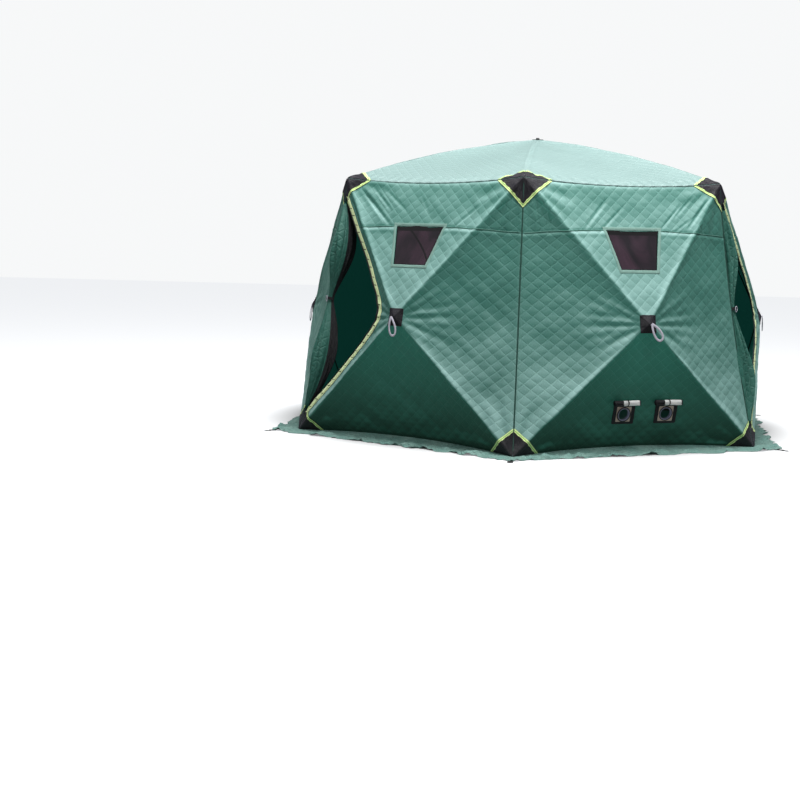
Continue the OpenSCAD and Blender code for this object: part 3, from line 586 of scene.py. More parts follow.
VENT_PITCH, VENT_SHIFT, VENT_Z = 0.350, 0.078, 0.276
VENT_W, VENT_H, VENT_R = 0.180, 0.145, 0.0505
SEAM_SHARE = 0.9998           # a wall stops this share of the way to its seam, so that neighbours only meet
for k, wall in enumerate(WALLS):
    v, u = np.meshgrid(AXIS, AXIS, indexing="ij")
    u = window_warp(u, v)
    if k in DOOR_WALLS:
        u = door_warp(u, v)
    u = u * SEAM_SHARE
    skin = wall_skin(k, u, v)
    flat = wall_surface(u, v)
    inner = turned(facing(wall_surface, u, v), wall_turn(k))[::2, ::2]
    lining = skin[::2, ::2] - WALL_THICK * inner
    keep = np.ones((HALF, HALF), bool)
    r0, r1 = [(HALF + i) // 2 for i in WINDOW_ROWS]
    keep[r0:r1, (HALF - WINDOW_COLS) // 2:(HALF + WINDOW_COLS) // 2] = False
    if k == VENT_WALL:
        mid = (flat[::2, ::2][:-1, :-1] + flat[::2, ::2][1:, 1:]) / 2
        for side in (-1, 1):
            at_y = VENT_SHIFT + side * VENT_PITCH / 2
            beside = abs(mid[..., 1] - at_y) < VENT_W / 2 - 0.022
            level = abs(mid[..., 2] - VENT_Z) < VENT_H / 2 - 0.020
            keep &= ~(beside & level)
    uv = np.stack([flat[..., 1], flat[..., 2] - HUB_Z], -1)
    made = piece("quilted_wall_" + wall, [lined_shell(skin, lining, keep, uv)], [wall_cloth, lining_cloth],
                 ["wall_" + wall])

# ---- Quilted roof ----
# Six gores of the same quilted cloth, sewn edge to edge along the hips and to the walls along the eaves.
# Bowed rods under the hips give the roof its crown; the rim lies over the top edge of each wall.

PEAK_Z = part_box("roof_cap")[0][2] + 0.003
ROOF_CAMBER, ROOF_HOLE = 0.050, 0.033
ROOF_STRETCH = 1.04           # the slope's length over its plan
ROOF_ROWS, ROOF_COLS = 112, 128
GORE_RIM, GORE_SLOPE = 1.66, 1.50
PUCKER_RISE, PUCKER_PITCH = 0.0048, 0.085


def roof_surface(s, t):
    """One gore: peak + s (eave(t) - peak), raised by the camber, 4s(1-s)(1 - 2t(1-t)). s runs from the
    peak to the eave, and t from left to right."""
    s, t = same_shape(s, t)
    eave = wall_rim(np.zeros(s.shape, int), t) + [-0.0015, 0, 0.0045]
    p = np.array([0.0, 0.0, PEAK_Z]) + s[..., None] * (eave - [0.0, 0.0, PEAK_Z])
    p[..., 2] += ROOF_CAMBER * 4 * s * (1 - s) * (1 - 2 * t * (1 - t))
    return p


def roof_relief(k, s, t, p):
    """The roof's quilting and swell, the tuck at its hips and eave, and the small puckers beside the eave."""
    x, y = p[..., 0], p[..., 1]
    fade = np.clip((1 - s) * 12, 0.2, 1)
    h = 1.6 * quilt_puff(y, ROOF_STRETCH * x) * fade
    h = h + 0.004 * uneven(x, y, 71 + k, 0.6) * unit((1 - s) * 4) * unit(s * 5)
    down = (1 - s) * 1.4
    phase = 2 * np.pi * y / PUCKER_PITCH + 2.3 * np.sin(9 * y + k)
    h = h + PUCKER_RISE * hump(down - 0.06, 0.050) * np.sin(phase)
    h = h + 0.004 * hump(down - 0.03, 0.02)
    hip = np.minimum(t, 1 - t) * s * GORE_RIM
    return h - 0.0045 * hump(hip, 0.006) + 0.003 * hump(hip - 0.02, 0.012)


def roof_skin(k, s, t, lift=0.0):
    """Gore k's cloth in place, moved out along its normal by its relief and by lift."""
    p = roof_surface(s, t)
    n = facing(lambda right, up: roof_surface(-up, right), t, -s)
    s, t = same_shape(s, t)
    return turned(p + n * (roof_relief(k, s, t, p) + lift)[..., None], wall_turn(k))


# The roof is the walls' cloth painted paler all over, as painted light where it faces the sky
sky_lit_roof_cloth = cloth("quilted_roof_cloth", shade(122, 148, 145), quilted=1.5, fade=0.10, dust=0.0,
                   roughness=0.45, sheen=0.45, specular=0.6)
s, t = np.meshgrid(np.linspace(1, ROOF_HOLE / EAVE_R, ROOF_ROWS + 1),
                   np.linspace(0.0003, 0.9997, ROOF_COLS + 1), indexing="ij")
for k, wall in enumerate(WALLS):
    skin = roof_skin(k, s, t)
    flat = roof_surface(s, t)
    lining = skin[::2, ::2] - [0, 0, WALL_THICK]
    uv = np.stack([flat[..., 1], ROOF_STRETCH * flat[..., 0]], -1)
    gore = lined_shell(skin, lining, np.ones((ROOF_ROWS // 2, ROOF_COLS // 2), bool), uv)
    made = piece("quilted_roof_gore_" + wall, [gore], [sky_lit_roof_cloth, lining_cloth],
                 ["roof_" + wall])

# ---- Ground skirt ----
# A flap of thin uncoated cloth sewn to the foot of each wall, laid flat outwards to be weighted down. It is
# mitred at the corners, crumpled, and wavy along its outer edge.

SKIRT_W, SKIRT_TIP, SKIRT_THICK = 0.290, 0.238, 0.003
SKIRT_ROWS, SKIRT_COLS = 26, 176
SKIRT_CRUMPLE = 0.0130
SKIRT_WAVES = (1, 5, 0.30), (0.7, 6, 0.12), (0.35, 7, 0.06)     # height, seed and length of each swell


def skirt_surface(k, u, t):
    """From the foot of the wall, u 0, falling by max(0, 1 - u/0.35)^2 to the ground and out to the hem, u 1.
    Crumples stand up from the ground by the size of an uneven swell, more towards the hem."""
    u, t = same_shape(u, t)
    inner = wall_rim(np.full(u.shape, 2), t)
    reach = BASE_R + SKIRT_TIP
    outer_x = reach * COS30 - 4 * t * (1 - t) * (BASE_BOW - SKIRT_W + SKIRT_TIP * COS30)
    outer_y = (1 - 2 * t) * reach * SIN30
    fall = np.maximum(0, 1 - u / 0.35) ** 2
    x, y = inner[..., 0] + u * (outer_x - inner[..., 0]), inner[..., 1] + u * (outer_y - inner[..., 1])
    p = turned(np.stack([x, y, inner[..., 2] * fall], -1), wall_turn(k))
    world_x, world_y = p[..., 0], p[..., 1]
    waves = sum(share * uneven(world_x, world_y, seed, length) for share, seed, length in SKIRT_WAVES)
    up = SKIRT_CRUMPLE * np.clip(waves + 0.2, 0, None) * unit(u * 2.5) * (0.5 + 0.5 * u)
    corner = np.minimum(t, 1 - t) * 2
    ruffle = hump(corner, 0.16) * unit(u * 1.5)
    up = up + 0.010 * ruffle * (1 + np.sin(70 * corner + 5 * u)) / 2 * unit(corner * 20)
    sway = 0.020 * uneven(world_x, world_y, 8, 0.22) + 0.008 * uneven(world_x, world_y, 9, 0.08)
    sway = sway * u ** 3 - 0.012 * u ** 3
    size = np.hypot(world_x, world_y)
    p[..., 0] += world_x / size * sway
    p[..., 1] += world_y / size * sway
    p[..., 2] += up
    return p


skirt_cloth = cloth("skirt_cloth", shade(74, 124, 116), fade=0.40, dust=0.35, roughness=0.6, sheen=0.2,
                    crumple=0.070, crumple_scale=13.0)
u, t = np.meshgrid(np.linspace(0.004, 1, SKIRT_ROWS), np.linspace(0.0, 1.0, SKIRT_COLS), indexing="ij")
for k, wall in enumerate(WALLS):
    under = skirt_surface(k, u, t)
    top = under + [0, 0, SKIRT_THICK]
    flap = closed_sheet(top[::-1, ::-1], under[::-1, ::-1], under[::-1, ::-1, :2])
    made = piece("ground_skirt_" + wall, [flap], [skirt_cloth], ["skirt_" + wall])

# ---- Windows ----
# A clear film in each wall over black mesh, framed by a folded grey binding that is stitched round the hole.
# The binding's corners are mitred, and its head is a little wider than its sides.


def window_corners(grow):
    """The window's four corners, moved out by grow square to every side; y and z, from the foot's left."""
    lean = (WINDOW_HEAD - WINDOW_FOOT) / 2 / (WINDOW_TOP - WINDOW_LOW)
    top, low = WINDOW_TOP + grow * 1.15, WINDOW_LOW - grow
    a = WINDOW_HEAD / 2 + grow * (lean + math.sqrt(1 + lean * lean))
    b = a - lean * (top - low)
    return np.array([[-b, low], [b, low], [a, top], [-a, top]])


def looped(grid, uv):
    """A part from a grid that closes on itself both ways, as a ring does."""
    n, m = grid.shape[:2]
    wrapped = np.pad(np.arange(n * m).reshape(n, m), ((0, 1), (0, 1)), mode="wrap")
    return grid.reshape(-1, 3), [grid_quads(wrapped)], uv.reshape(-1, 2), [0]


def band_round(k, corners, profile, each=16):
    """A band swept round a closed outline on wall k: each profile point is (how far out, how high), and the
    outline at that distance is corners(out), so the corners come out mitred."""
    f = np.arange(4 * each) / each
    side, share = f.astype(int) % 4, (f % 1)[:, None]
    rows = []
    for out, high in profile:
        c = corners(out)
        yz = c[side] * (1 - share) + c[(side + 1) % 4] * share
        rows.append(wall_skin(k, *on_wall(yz[:, 0], yz[:, 1]), high))
    grid = np.stack(rows, 1)
    along = np.cumsum(np.linalg.norm(np.roll(grid[:, 0], -1, 0) - grid[:, 0], axis=-1))
    return looped(grid, pairs(np.array([p[0] for p in profile])[None, :], along[:, None]))


binding_cloth = cloth("grey_green_binding", shade(112, 146, 136), fade=0.1, dust=0.05, roughness=0.7,
                      threads=1600.0, weave_depth=0.0003)
profile = [(0.000, -0.0030), (0.0005, 0.0022), (0.004, 0.0034), (0.011, 0.0030), (0.018, 0.0034),
           (0.0215, 0.0022), (0.022, -0.0005), (0.011, -0.0012)]
piece("window_bindings", [band_round(k, window_corners, profile) for k in range(6)], [binding_cloth],
      ["window_bindings"])


def film_grid(k, rows=30, cols=44):
    """The film's two faces: a grid between the window's corners, slack by a soft swell of 3 mm."""
    b, a = np.meshgrid(np.linspace(0, 1, rows), np.linspace(0, 1, cols), indexing="ij")
    c = window_corners(0.004)
    right, up = a[..., None], b[..., None]
    yz = (c[0] * (1 - right) + c[1] * right) * (1 - up) + (c[3] * (1 - right) + c[2] * right) * up
    u, v = on_wall(yz[..., 0], yz[..., 1])
    p = wall_surface(u, v)
    swell = 0.0030 * uneven(yz[..., 0], yz[..., 1], 91 + k, 0.30) - 0.0035
    n = facing(wall_surface, u, v)
    skins = [turned(p + n * (swell + d)[..., None], wall_turn(k)) for d in (0.0, -0.0012)]
    return closed_sheet(*skins, uv=np.stack([a + (0 if k == 5 else 2), b], -1))


FILM_DARK = shade(4, 3, 6)
window_film, tree, shader = new_material("window_film")
place = add(tree, "TexCoord")
tall = add(tree, "Mapping", {0: place.outputs["Object"], "Scale": (6.0, 6.0, 2.2)})
bands = add(tree, "TexNoise", {"Vector": tall.outputs[0], "Scale": 0.8, "Detail": 3.0, "Distortion": 1.2})
tone = add(tree, "ValToRGB", {0: bands.outputs[0]})
tone.color_ramp.elements[0].position, tone.color_ramp.elements[0].color = 0.36, shade(20, 14, 22)
tone.color_ramp.elements[1].position, tone.color_ramp.elements[1].color = 0.70, shade(52, 34, 46)
head = add(tree, "SeparateXYZ", {0: place.outputs["UV"]})
strip = ramped(tree, head.outputs[1], 0.865, 0.885, 0.0, 1.0)
topped = mixed(tree, strip, tone.outputs[0], FILM_DARK)
edge = sums(tree, "MINIMUM", sums(tree, "PINGPONG", head.outputs[0], 0.5),
            sums(tree, "PINGPONG", head.outputs[1], 0.5))
hang = sums(tree, "ADD", head.outputs[1], sums(tree, "MULTIPLY", head.outputs[0], 1.17))
strap = sums(tree, "LESS_THAN", apart(tree, hang, 1.265), 0.030)
# The film's rim is darkened as a painted shadow of the binding; the diagonal strap line takes the same dark
# colour
shadowed = sums(tree, "MAXIMUM", sums(tree, "LESS_THAN", edge, 0.040), strap)
bordered = mixed(tree, shadowed, topped, FILM_DARK)
tree.links.new(bordered, shader.inputs["Base Color"])
ripple = add(tree, "TexNoise", {"Vector": place.outputs["Object"], "Scale": 5.0, "Detail": 2.0})
tree.links.new(add(tree, "Bump", {"Strength": 0.6, "Distance": 0.01, "Height": ripple.outputs[0]}).outputs[0],
               shader.inputs["Normal"])
settle(shader, {"Roughness": 0.22, "Coat Weight": 0.25, "Coat Roughness": 0.08})
piece("window_films", [film_grid(k) for k in range(6)], [window_film], ["window_panes"])

# ---- Stay cord across each wall ----
# A folded seam with a cord in it runs level across every wall above the hub, just over the window's head,
# and stiffens the top of the wall. A strip of binding covers its stitching.


CORD_WRAP = 0.03              # how much of the weave goes round a cord, in metres


def sweep(path, sides, radius_across, radius_out, out, closed=False):
    """An oval rod along a path: at each point, across cos(a) and out sin(a) times the two radii. Its ends
    are closed by a fan. out is the direction that the flat side faces, at each point."""
    ahead = np.roll(path, -1, 0) - np.roll(path, 1, 0) if closed else np.gradient(path, axis=0)
    ahead = ahead / np.linalg.norm(ahead, axis=-1, keepdims=True)
    across = np.cross(ahead, out)
    across = across / np.linalg.norm(across, axis=-1, keepdims=True)
    up = np.cross(across, ahead)
    a = 2 * np.pi * np.arange(sides) / sides
    ra, ro = np.broadcast_to(radius_across, len(path)), np.broadcast_to(radius_out, len(path))
    grid = (path[:, None] + across[:, None] * (np.cos(a)[None, :, None] * ra[:, None, None])
            + up[:, None] * (np.sin(a)[None, :, None] * ro[:, None, None]))
    n = len(path)
    at = np.arange(n * sides).reshape(n, sides)
    wrapped = np.pad(at, ((0, 1 if closed else 0), (0, 1)), mode="wrap")
    steps = np.linalg.norm(np.diff(path, axis=0), axis=-1)
    along = np.concatenate([[0], np.cumsum(steps)])
    uv = pairs(a[None, :] / 6.2832 * CORD_WRAP, along[:, None]).reshape(-1, 2)
    points, faces, kinds = grid.reshape(-1, 3), [grid_quads(wrapped)], [0]
    if not closed:
        points = np.concatenate([points, path[[0, -1]]])
        uv = np.concatenate([uv, uv[:2]])
        ring = np.arange(sides)
        next_on = (ring + 1) % sides
        start_tip, end_tip, end_ring = n * sides + 0 * ring, n * sides + 1 + 0 * ring, (n - 1) * sides
        faces.append(np.concatenate([np.stack([start_tip, next_on, ring], -1),
                                     np.stack([end_tip, ring + end_ring, next_on + end_ring], -1)]))
        kinds.append(0)
    return points, faces, uv, kinds


CORD_END_Z = 1.585


def seam_reach():
    """How far the stay cord runs from the wall's middle to either side, just short of the seam."""
    t = (EAVE_Z - CORD_END_Z) / EAVE_Z
    return 0.982 * abs(wall_rim(np.array(1), np.array(t))[1])


parts = []
for k in range(6):
    for side in (-1, 1):
        start = WINDOW_HEAD / 2 + 0.020
        stop = 0.60 if side < 0 and k in DOOR_WALLS else seam_reach()
        y = side * np.linspace(start, stop, 60)
        z = sagging(CORD_Z, y) + 0.0015 * np.sin(26 * y + k)
        u, v = on_wall(y, z)
        path = wall_skin(k, u, v, 0.0015)
        parts.append(sweep(path, 8, 0.0036, 0.0026, turned(facing(wall_surface, u, v), wall_turn(k))))
stay_cloth = cloth("stay_binding", shade(74, 122, 110), fade=0.1, dust=0.0, roughness=0.7, threads=1600.0)
piece("stay_cords", parts, [stay_cloth])

# ---- Corner seams ----
# Where two walls meet, their edges are turned in and bound together. From outside the seam is a narrow
# dark cord that lies in a groove.


def corner_turn(k):
    """The way corner k faces, in degrees from +X."""
    return -90 + 60 * k


def seam_r(t):
    """How far out a corner seam is, from the eave, t 0, to the ground: a line pulled in by 4t(1-t)."""
    return EAVE_R + t * (BASE_R - EAVE_R) - SEAM_BOW * 4 * t * (1 - t)


def corner_line(k, t):
    """The points of the seam at corner k."""
    return turned(np.stack([seam_r(t), 0 * t, EAVE_Z * (1 - t)], -1), corner_turn(k))


seam_cloth = cloth("seam_binding", shade(26, 66, 56), fade=0.1, dust=0.1, roughness=0.75, sheen=0.1)
t = np.linspace(0.004, 0.985, 90)
parts = []
for k in range(6):
    out = np.broadcast_to(turned(np.array([1.0, 0, 0]), corner_turn(k)), (90, 3))
    parts.append(sweep(corner_line(k, t) - 0.0035 * out, 8, 0.0055, 0.0050, out))
piece("corner_seams", parts, [seam_cloth])

# ---- Corner patches ----
# Black coated canvas sewn over each eave corner, on both walls and the roof, and over each foot. The pull of
# the rods leaves folds that fan out from the corner. A bright striped tape covers the patch's edge.

EAVE_REACH, EAVE_DROP, BASE_REACH, BASE_RISE, TAPE_W = 0.232, 0.220, 0.225, 0.205, 0.034
TAPE_SHARE = 1 - TAPE_W / EAVE_REACH
EAVE_L, SEAM_L, BASE_L = 1.662, 2.010, 2.033
PATCH_SHARE = 0.9996          # patches stop this share of the way to a seam
CANVAS_LIFT, CANVAS_THICK, TAPE_LIFT, TAPE_THICK = 0.0010, 0.0018, 0.0012, 0.0034
EAVE_ROD_L = np.linalg.norm(CORNERS[1] - HUB)
BASE_ROD_L = np.linalg.norm(CORNERS[2] - HUB)


def patch_corners(top, share):
    """A patch's other corners on the wall's right side, as u and v: on the eave or base, on the rod's ridge
    and on the seam, at a share of the patch's full reach."""
    if top:
        on_rod = 1 - 0.66 * share * EAVE_DROP / EAVE_ROD_L
        return np.array([[1 - 2 * share * EAVE_REACH / EAVE_L, 1], [on_rod, on_rod],
                         [1, 1 - 2 * share * EAVE_DROP / SEAM_L]])
    on_rod = 1 - 0.80 * share * BASE_RISE / BASE_ROD_L
    return np.array([[1 - 2 * share * BASE_REACH / BASE_L, -1], [on_rod, -on_rod],
                     [1, -1 + 2 * share * BASE_RISE / SEAM_L]])


def on_side(k, side, uv):
    """Those u and v on either side of wall k, drawn in to the zip where the door hangs."""
    u, v = uv[..., 0] * side, uv[..., 1]
    if side < 0 and k in DOOR_WALLS:
        u = door_warp(u, v)
    return u * PATCH_SHARE, v


def patch_on_wall(k, side, top, lift, thick, shares, count=(22, 22)):
    """A sheet between two shares of the patch's reach, or from its corner if shares starts at 0. Its folds
    fan out from the corner: h = 4 mm r^2 |sin 4.5a|, with a the angle at the corner and r the reach."""
    f = np.linspace(0, 1, count[1])[None, :]
    w = np.linspace(shares[0], shares[1], count[0])[:, None]
    level = 1.0 if top else -1.0
    e, r, s = (patch_corners(top, 1.0)[i] - [1, level] for i in range(3))
    bend = f * 2
    edge = np.where(bend[..., None] < 1, e + (r - e) * bend[..., None], r + (s - r) * (bend[..., None] - 1))
    uv = np.array([1, level]) + w[..., None] * edge
    u, v = on_side(k, side, uv)
    fold = 0.0040 * w * np.abs(np.sin(4.5 * np.pi * f + 0.6)) * (w / shares[1]) if shares[0] == 0 else 0.0
    tops, unders = wall_skin(k, u, v, lift + thick + fold), wall_skin(k, u, v, lift - 0.001)
    if shares[0] == 0:
        tops[0], unders[0] = tops[0].mean(0), unders[0].mean(0)
    return closed_sheet(tops, unders, uv=pairs((w - shares[0]) / (shares[1] - shares[0]), f * 0.3))


def patch_on_roof(k, side, lift, thick, shares, count=(18, 14)):
    """The same on the roof: from the eave corner to a line between the eave and the hip."""
    f = np.linspace(0, 1, count[1])[None, :]
    w = np.linspace(shares[0], shares[1], count[0])[:, None]
    back = 0.62 * EAVE_REACH / EAVE_R
    s = 1 - w * back * f
    t = 1 - w * EAVE_REACH / EAVE_L * (1 - f) / s
    t = np.where(side > 0, t, 1 - t)
    t = 0.5 + (t - 0.5) * PATCH_SHARE
    fold = 0.0030 * w * np.abs(np.sin(3.5 * np.pi * f + 0.3)) if shares[0] == 0 else 0.0
    tops, unders = roof_skin(k, s, t, lift + thick + fold), roof_skin(k, s, t, lift - 0.001)
    return closed_sheet(tops, unders, uv=pairs((w - shares[0]) / (shares[1] - shares[0]), f * 0.3))


canvas = cloth("black_canvas", shade(17, 14, 22), fade=0.3, dust=0.04, roughness=0.5, sheen=0.12,
               threads=2400.0, weave_depth=0.0003, crumple=0.004, crumple_scale=14.0,
               tint=(0.30, 0.26, 0.42, 1), specular=0.35)

# The tape: lime edges beside a narrow green middle, ribbed across
tape = cloth("lime_tape", shade(222, 244, 160), fade=0.08, dust=0.1, roughness=0.65, sheen=0.3,
             threads=2600.0, weave_depth=0.0004, tint=(0.9, 1.0, 0.7, 1))
tree, shader, plain = colour_of(tape)
across = add(tree, "SeparateXYZ", {0: add(tree, "TexCoord").outputs["UV"]})
middle = apart(tree, across.outputs[0], 0.5)
stripe = ramped(tree, middle, 0.07, 0.13, 1.0, 0.0)
# The tape's rims are darkened, a painted shadow along its edges
rim_band = ramped(tree, middle, 0.465, 0.49, 0.0, 1.0)
striped = mixed(tree, stripe, plain, shade(118, 178, 92))
edge_shadowed = mixed(tree, rim_band, striped, shade(30, 60, 40))
tree.links.new(edge_shadowed, shader.inputs["Base Color"])

ends = [(k, side) for k in range(6) for side in (-1, 1)]
inner = CANVAS_LIFT, CANVAS_THICK, (0, TAPE_SHARE + 0.02)
piece("eave_patches", [patch_on_wall(k, side, True, *inner) for k, side in ends]
      + [patch_on_roof(k, side, *inner) for k, side in ends], [canvas], ["eave_patches"])
piece("foot_patches", [patch_on_wall(k, side, False, *inner) for k, side in ends], [canvas],
      ["base_patches"])
outer = TAPE_LIFT, TAPE_THICK, (TAPE_SHARE, 1.0)
piece("eave_tapes", [patch_on_wall(k, side, True, *outer, (9, 40)) for k, side in ends]
      + [patch_on_roof(k, side, *outer, (9, 24)) for k, side in ends], [tape], ["eave_piping"])
piece("foot_tapes", [patch_on_wall(k, side, False, *outer, (9, 40)) for k, side in ends], [tape],
      ["base_piping"])

# ---- Hub patches and pull loops ----
# A square of the same canvas guards the cloth over each hub, stitched across its corners. A loop of grey
# webbing hangs from its middle: it pulls the wall out when the hut is put up.

HUB_PATCH, PATCH_TOP, PATCH_UNDER = 0.128, 0.0026, 0.0004
STITCH_RISE, HEM_RISE = 0.0018, 0.0012


def hub_patch(k):
    """A square sheet over the hub, raised by seams along its two diagonals and by its hem."""
    b, a = np.meshgrid(np.linspace(-1, 1, 41), np.linspace(-1, 1, 41), indexing="ij")
    y, z = a * HUB_PATCH / 2, HUB_Z + b * HUB_PATCH / 2
    u, v = on_wall(y, z)
    seams = STITCH_RISE * (hump(a - b, 0.05) + hump(a + b, 0.05))
    rim_band = HEM_RISE * hump(np.maximum(abs(a), abs(b)) - 0.93, 0.05)
    return closed_sheet(wall_skin(k, u, v, PATCH_TOP + seams + rim_band), wall_skin(k, u, v, PATCH_UNDER),
                        uv=np.stack([y, z], -1))


piece("hub_patches", [hub_patch(k) for k in range(6)], [canvas], ["hub_patches"])

LOOP_L, LOOP_W = 0.142, 0.058


def pull_loop(k):
    """A webbing loop that hangs from the hub: a teardrop, y = 0.65 W sin(a) sin(a/2), z = -L (1 - cos a) / 2,
    leaning to one side, with its faces outwards."""
    a = np.linspace(0.16, 2 * np.pi - 0.16, 72)
    y = 0.5 * LOOP_W * 1.30 * np.sin(a) * np.sin(a / 2)
    z = -LOOP_L * (1 - np.cos(a)) / 2
    lean = math.radians(-12 if k in (5, 4, 3) else -34)
    start = -0.018 if k in (5, 4, 3) else 0.012
    y, z = y * math.cos(lean) - z * math.sin(-lean), z * math.cos(lean) + y * math.sin(-lean)
    x = HUB_R + 0.016 + 0.012 * np.sin(a / 2)
    path = np.stack([x, y + start, z + HUB_Z + 0.004], -1)
    out = np.broadcast_to([1.0, 0, 0], path.shape)
    return sweep(turned(path, wall_turn(k)), 12, 0.0085, 0.0028, turned(out, wall_turn(k)))


webbing = cloth("grey_webbing", shade(206, 202, 216), fade=0.1, dust=0.1, roughness=0.75, threads=1300.0,
                weave_depth=0.0008)
piece("pull_loops", [pull_loop(k) for k in range(6)], [webbing], ["pull_loops"])

# ---- Door zips ----
# Each door is a facet beside a corner, opened by one zip that runs as a bent arch past the hub. The zip lies
# on black tape along the cut edge of the wall, under a bright striped cover strip with black marks.

ZIP_W = 0.038
DOOR_REACH = (BASE_R + EAVE_R) / 2 * SIN30
C_IN = ZIP_VERTEX - ZIP_W / (DOOR_REACH * 0.725)
H_IN = 2 * ZIP_VERTEX - ZIP_W / DOOR_REACH - C_IN


def zip_band(k, c0, h0, c1, h1, lift, under, rows=150, cols=9, ends=0.86):
    """A strip between two hyperbolas u = -(c + sqrt(v^2 + h^2)), as a closed sheet on wall k; v runs evenly
    in arcsinh so that the bend beside the hub is fine."""
    reach = math.asinh(ends / ZIP_VERTEX)
    v = (np.sinh(np.linspace(-reach, reach, rows)) * ZIP_VERTEX)[:, None]
    w = np.linspace(0, 1, cols)[None, :]
    u = -((c0 + np.sqrt(v * v + h0 * h0)) * (1 - w) + (c1 + np.sqrt(v * v + h1 * h1)) * w)
    u, v = np.broadcast_arrays(u, v)
    crown = np.sqrt(np.clip(1 - (2 * w - 1) ** 2, 0.05, 1))
    top = wall_skin(k, u, v, under + (lift - under) * crown)
    low = wall_skin(k, u, v, under - 0.0015)
    steps = np.linalg.norm(np.diff(top[:, cols // 2], axis=0), axis=-1)
    along = np.concatenate([[0], np.cumsum(steps)])
    return closed_sheet(top, low, uv=pairs(w, along[:, None]))


zip_cover = cloth("zip_cover_tape", shade(232, 246, 188), fade=0.08, dust=0.1, roughness=0.6, sheen=0.3,
                  threads=2600.0, weave_depth=0.0004, tint=(0.9, 1.0, 0.7, 1))
tree, shader, plain = colour_of(zip_cover)
run = add(tree, "SeparateXYZ", {0: add(tree, "TexCoord").outputs["UV"]})
MARK_PITCH = 0.172            # the dark marks repeat at this distance along the strip
beat = sums(tree, "FRACT", sums(tree, "DIVIDE", run.outputs[1], MARK_PITCH))
tick = sums(tree, "LESS_THAN", beat, 0.055)
second = sums(tree, "LESS_THAN", apart(tree, beat, 0.46), 0.020)
middle = sums(tree, "LESS_THAN", apart(tree, run.outputs[0], 0.45), 0.34)
marks = sums(tree, "MULTIPLY", sums(tree, "MAXIMUM", tick, second), middle)
edge = apart(tree, run.outputs[0], 0.5)
# The cover's rims are darkened, a painted shadow along its edges
rim_band = ramped(tree, edge, 0.455, 0.485, 0.0, 1.0)
line = sums(tree, "LESS_THAN", apart(tree, run.outputs[0], 0.72), 0.035)
lined = mixed(tree, sums(tree, "MULTIPLY", line, 0.6), plain, shade(140, 190, 110))
marked = mixed(tree, marks, lined, shade(22, 30, 18))
edge_shadowed = mixed(tree, rim_band, marked, shade(26, 48, 36))
tree.links.new(edge_shadowed, shader.inputs["Base Color"])

zip_tape = cloth("black_zip_tape", shade(18, 18, 22), fade=0.2, dust=0.2, roughness=0.7, threads=2600.0)
for k, name in ((5, "front_left_door_zip"), (1, "right_door_zip")):
    wide = 0.013
    cover = zip_band(k, ZIP_VERTEX, ZIP_VERTEX, C_IN, H_IN, 0.0048, 0.0014)
    black = zip_band(k, ZIP_VERTEX + wide, ZIP_VERTEX + wide * 0.6, ZIP_VERTEX - 0.004, ZIP_VERTEX,
                     0.0016, -0.003)
    shares = (1.15, 0.7, 0.75, 0.45)
    teeth = zip_band(k, *[ZIP_VERTEX + wide * share for share in shares], 0.0038, -0.0005, cols=5)
    piece(name, [cover, (*black[:3], [1, 1, 1]), (*teeth[:3], [1, 1, 1])], [zip_cover, zip_tape],
          [name])

# ---- Gathered doors ----
# Each unzipped door is gathered against its corner seam. It is rolled loosely into folds, its quilted face
# out, with the black tape of its half of the zip down the free edge, and tied at half its height.

BUNDLE_R, WAIST_R, WAIST_AT, BUNDLE_TOP, BUNDLE_BASE = 0.076, 0.022, 0.475, 0.100, 0.900
TAPE_COLS = (45, 68)          # the columns of the roll that are zip tape
BUNDLE_IN = 0.003             # how far the bundle's middle stands in from the seam
FLAP_IN = 0.62                # how far the gathered cloth hangs in from the seam, as a share of its radius


def lobe(t, a, b):
    """A half sine between a and b, nothing outside them."""
    return np.where((t > a) & (t < b), np.sin(np.pi * unit((t - a) / (b - a))), 0)


def bundle_radius(t):
    """The gathered door's radius down the seam: two lobes between its ends and its tied waist."""
    upper, lower = lobe(t, BUNDLE_TOP - 0.02, WAIST_AT - 0.01), lobe(t, WAIST_AT + 0.01, BUNDLE_BASE + 0.02)
    ends = 0.008 * unit(1 - (t - BUNDLE_TOP) / 0.06)
    ends = ends + 0.008 * unit(1 - (BUNDLE_BASE - t) / 0.06)
    return WAIST_R + (BUNDLE_R - WAIST_R) * (0.94 * upper ** 1.2 + lower ** 1.1) - ends


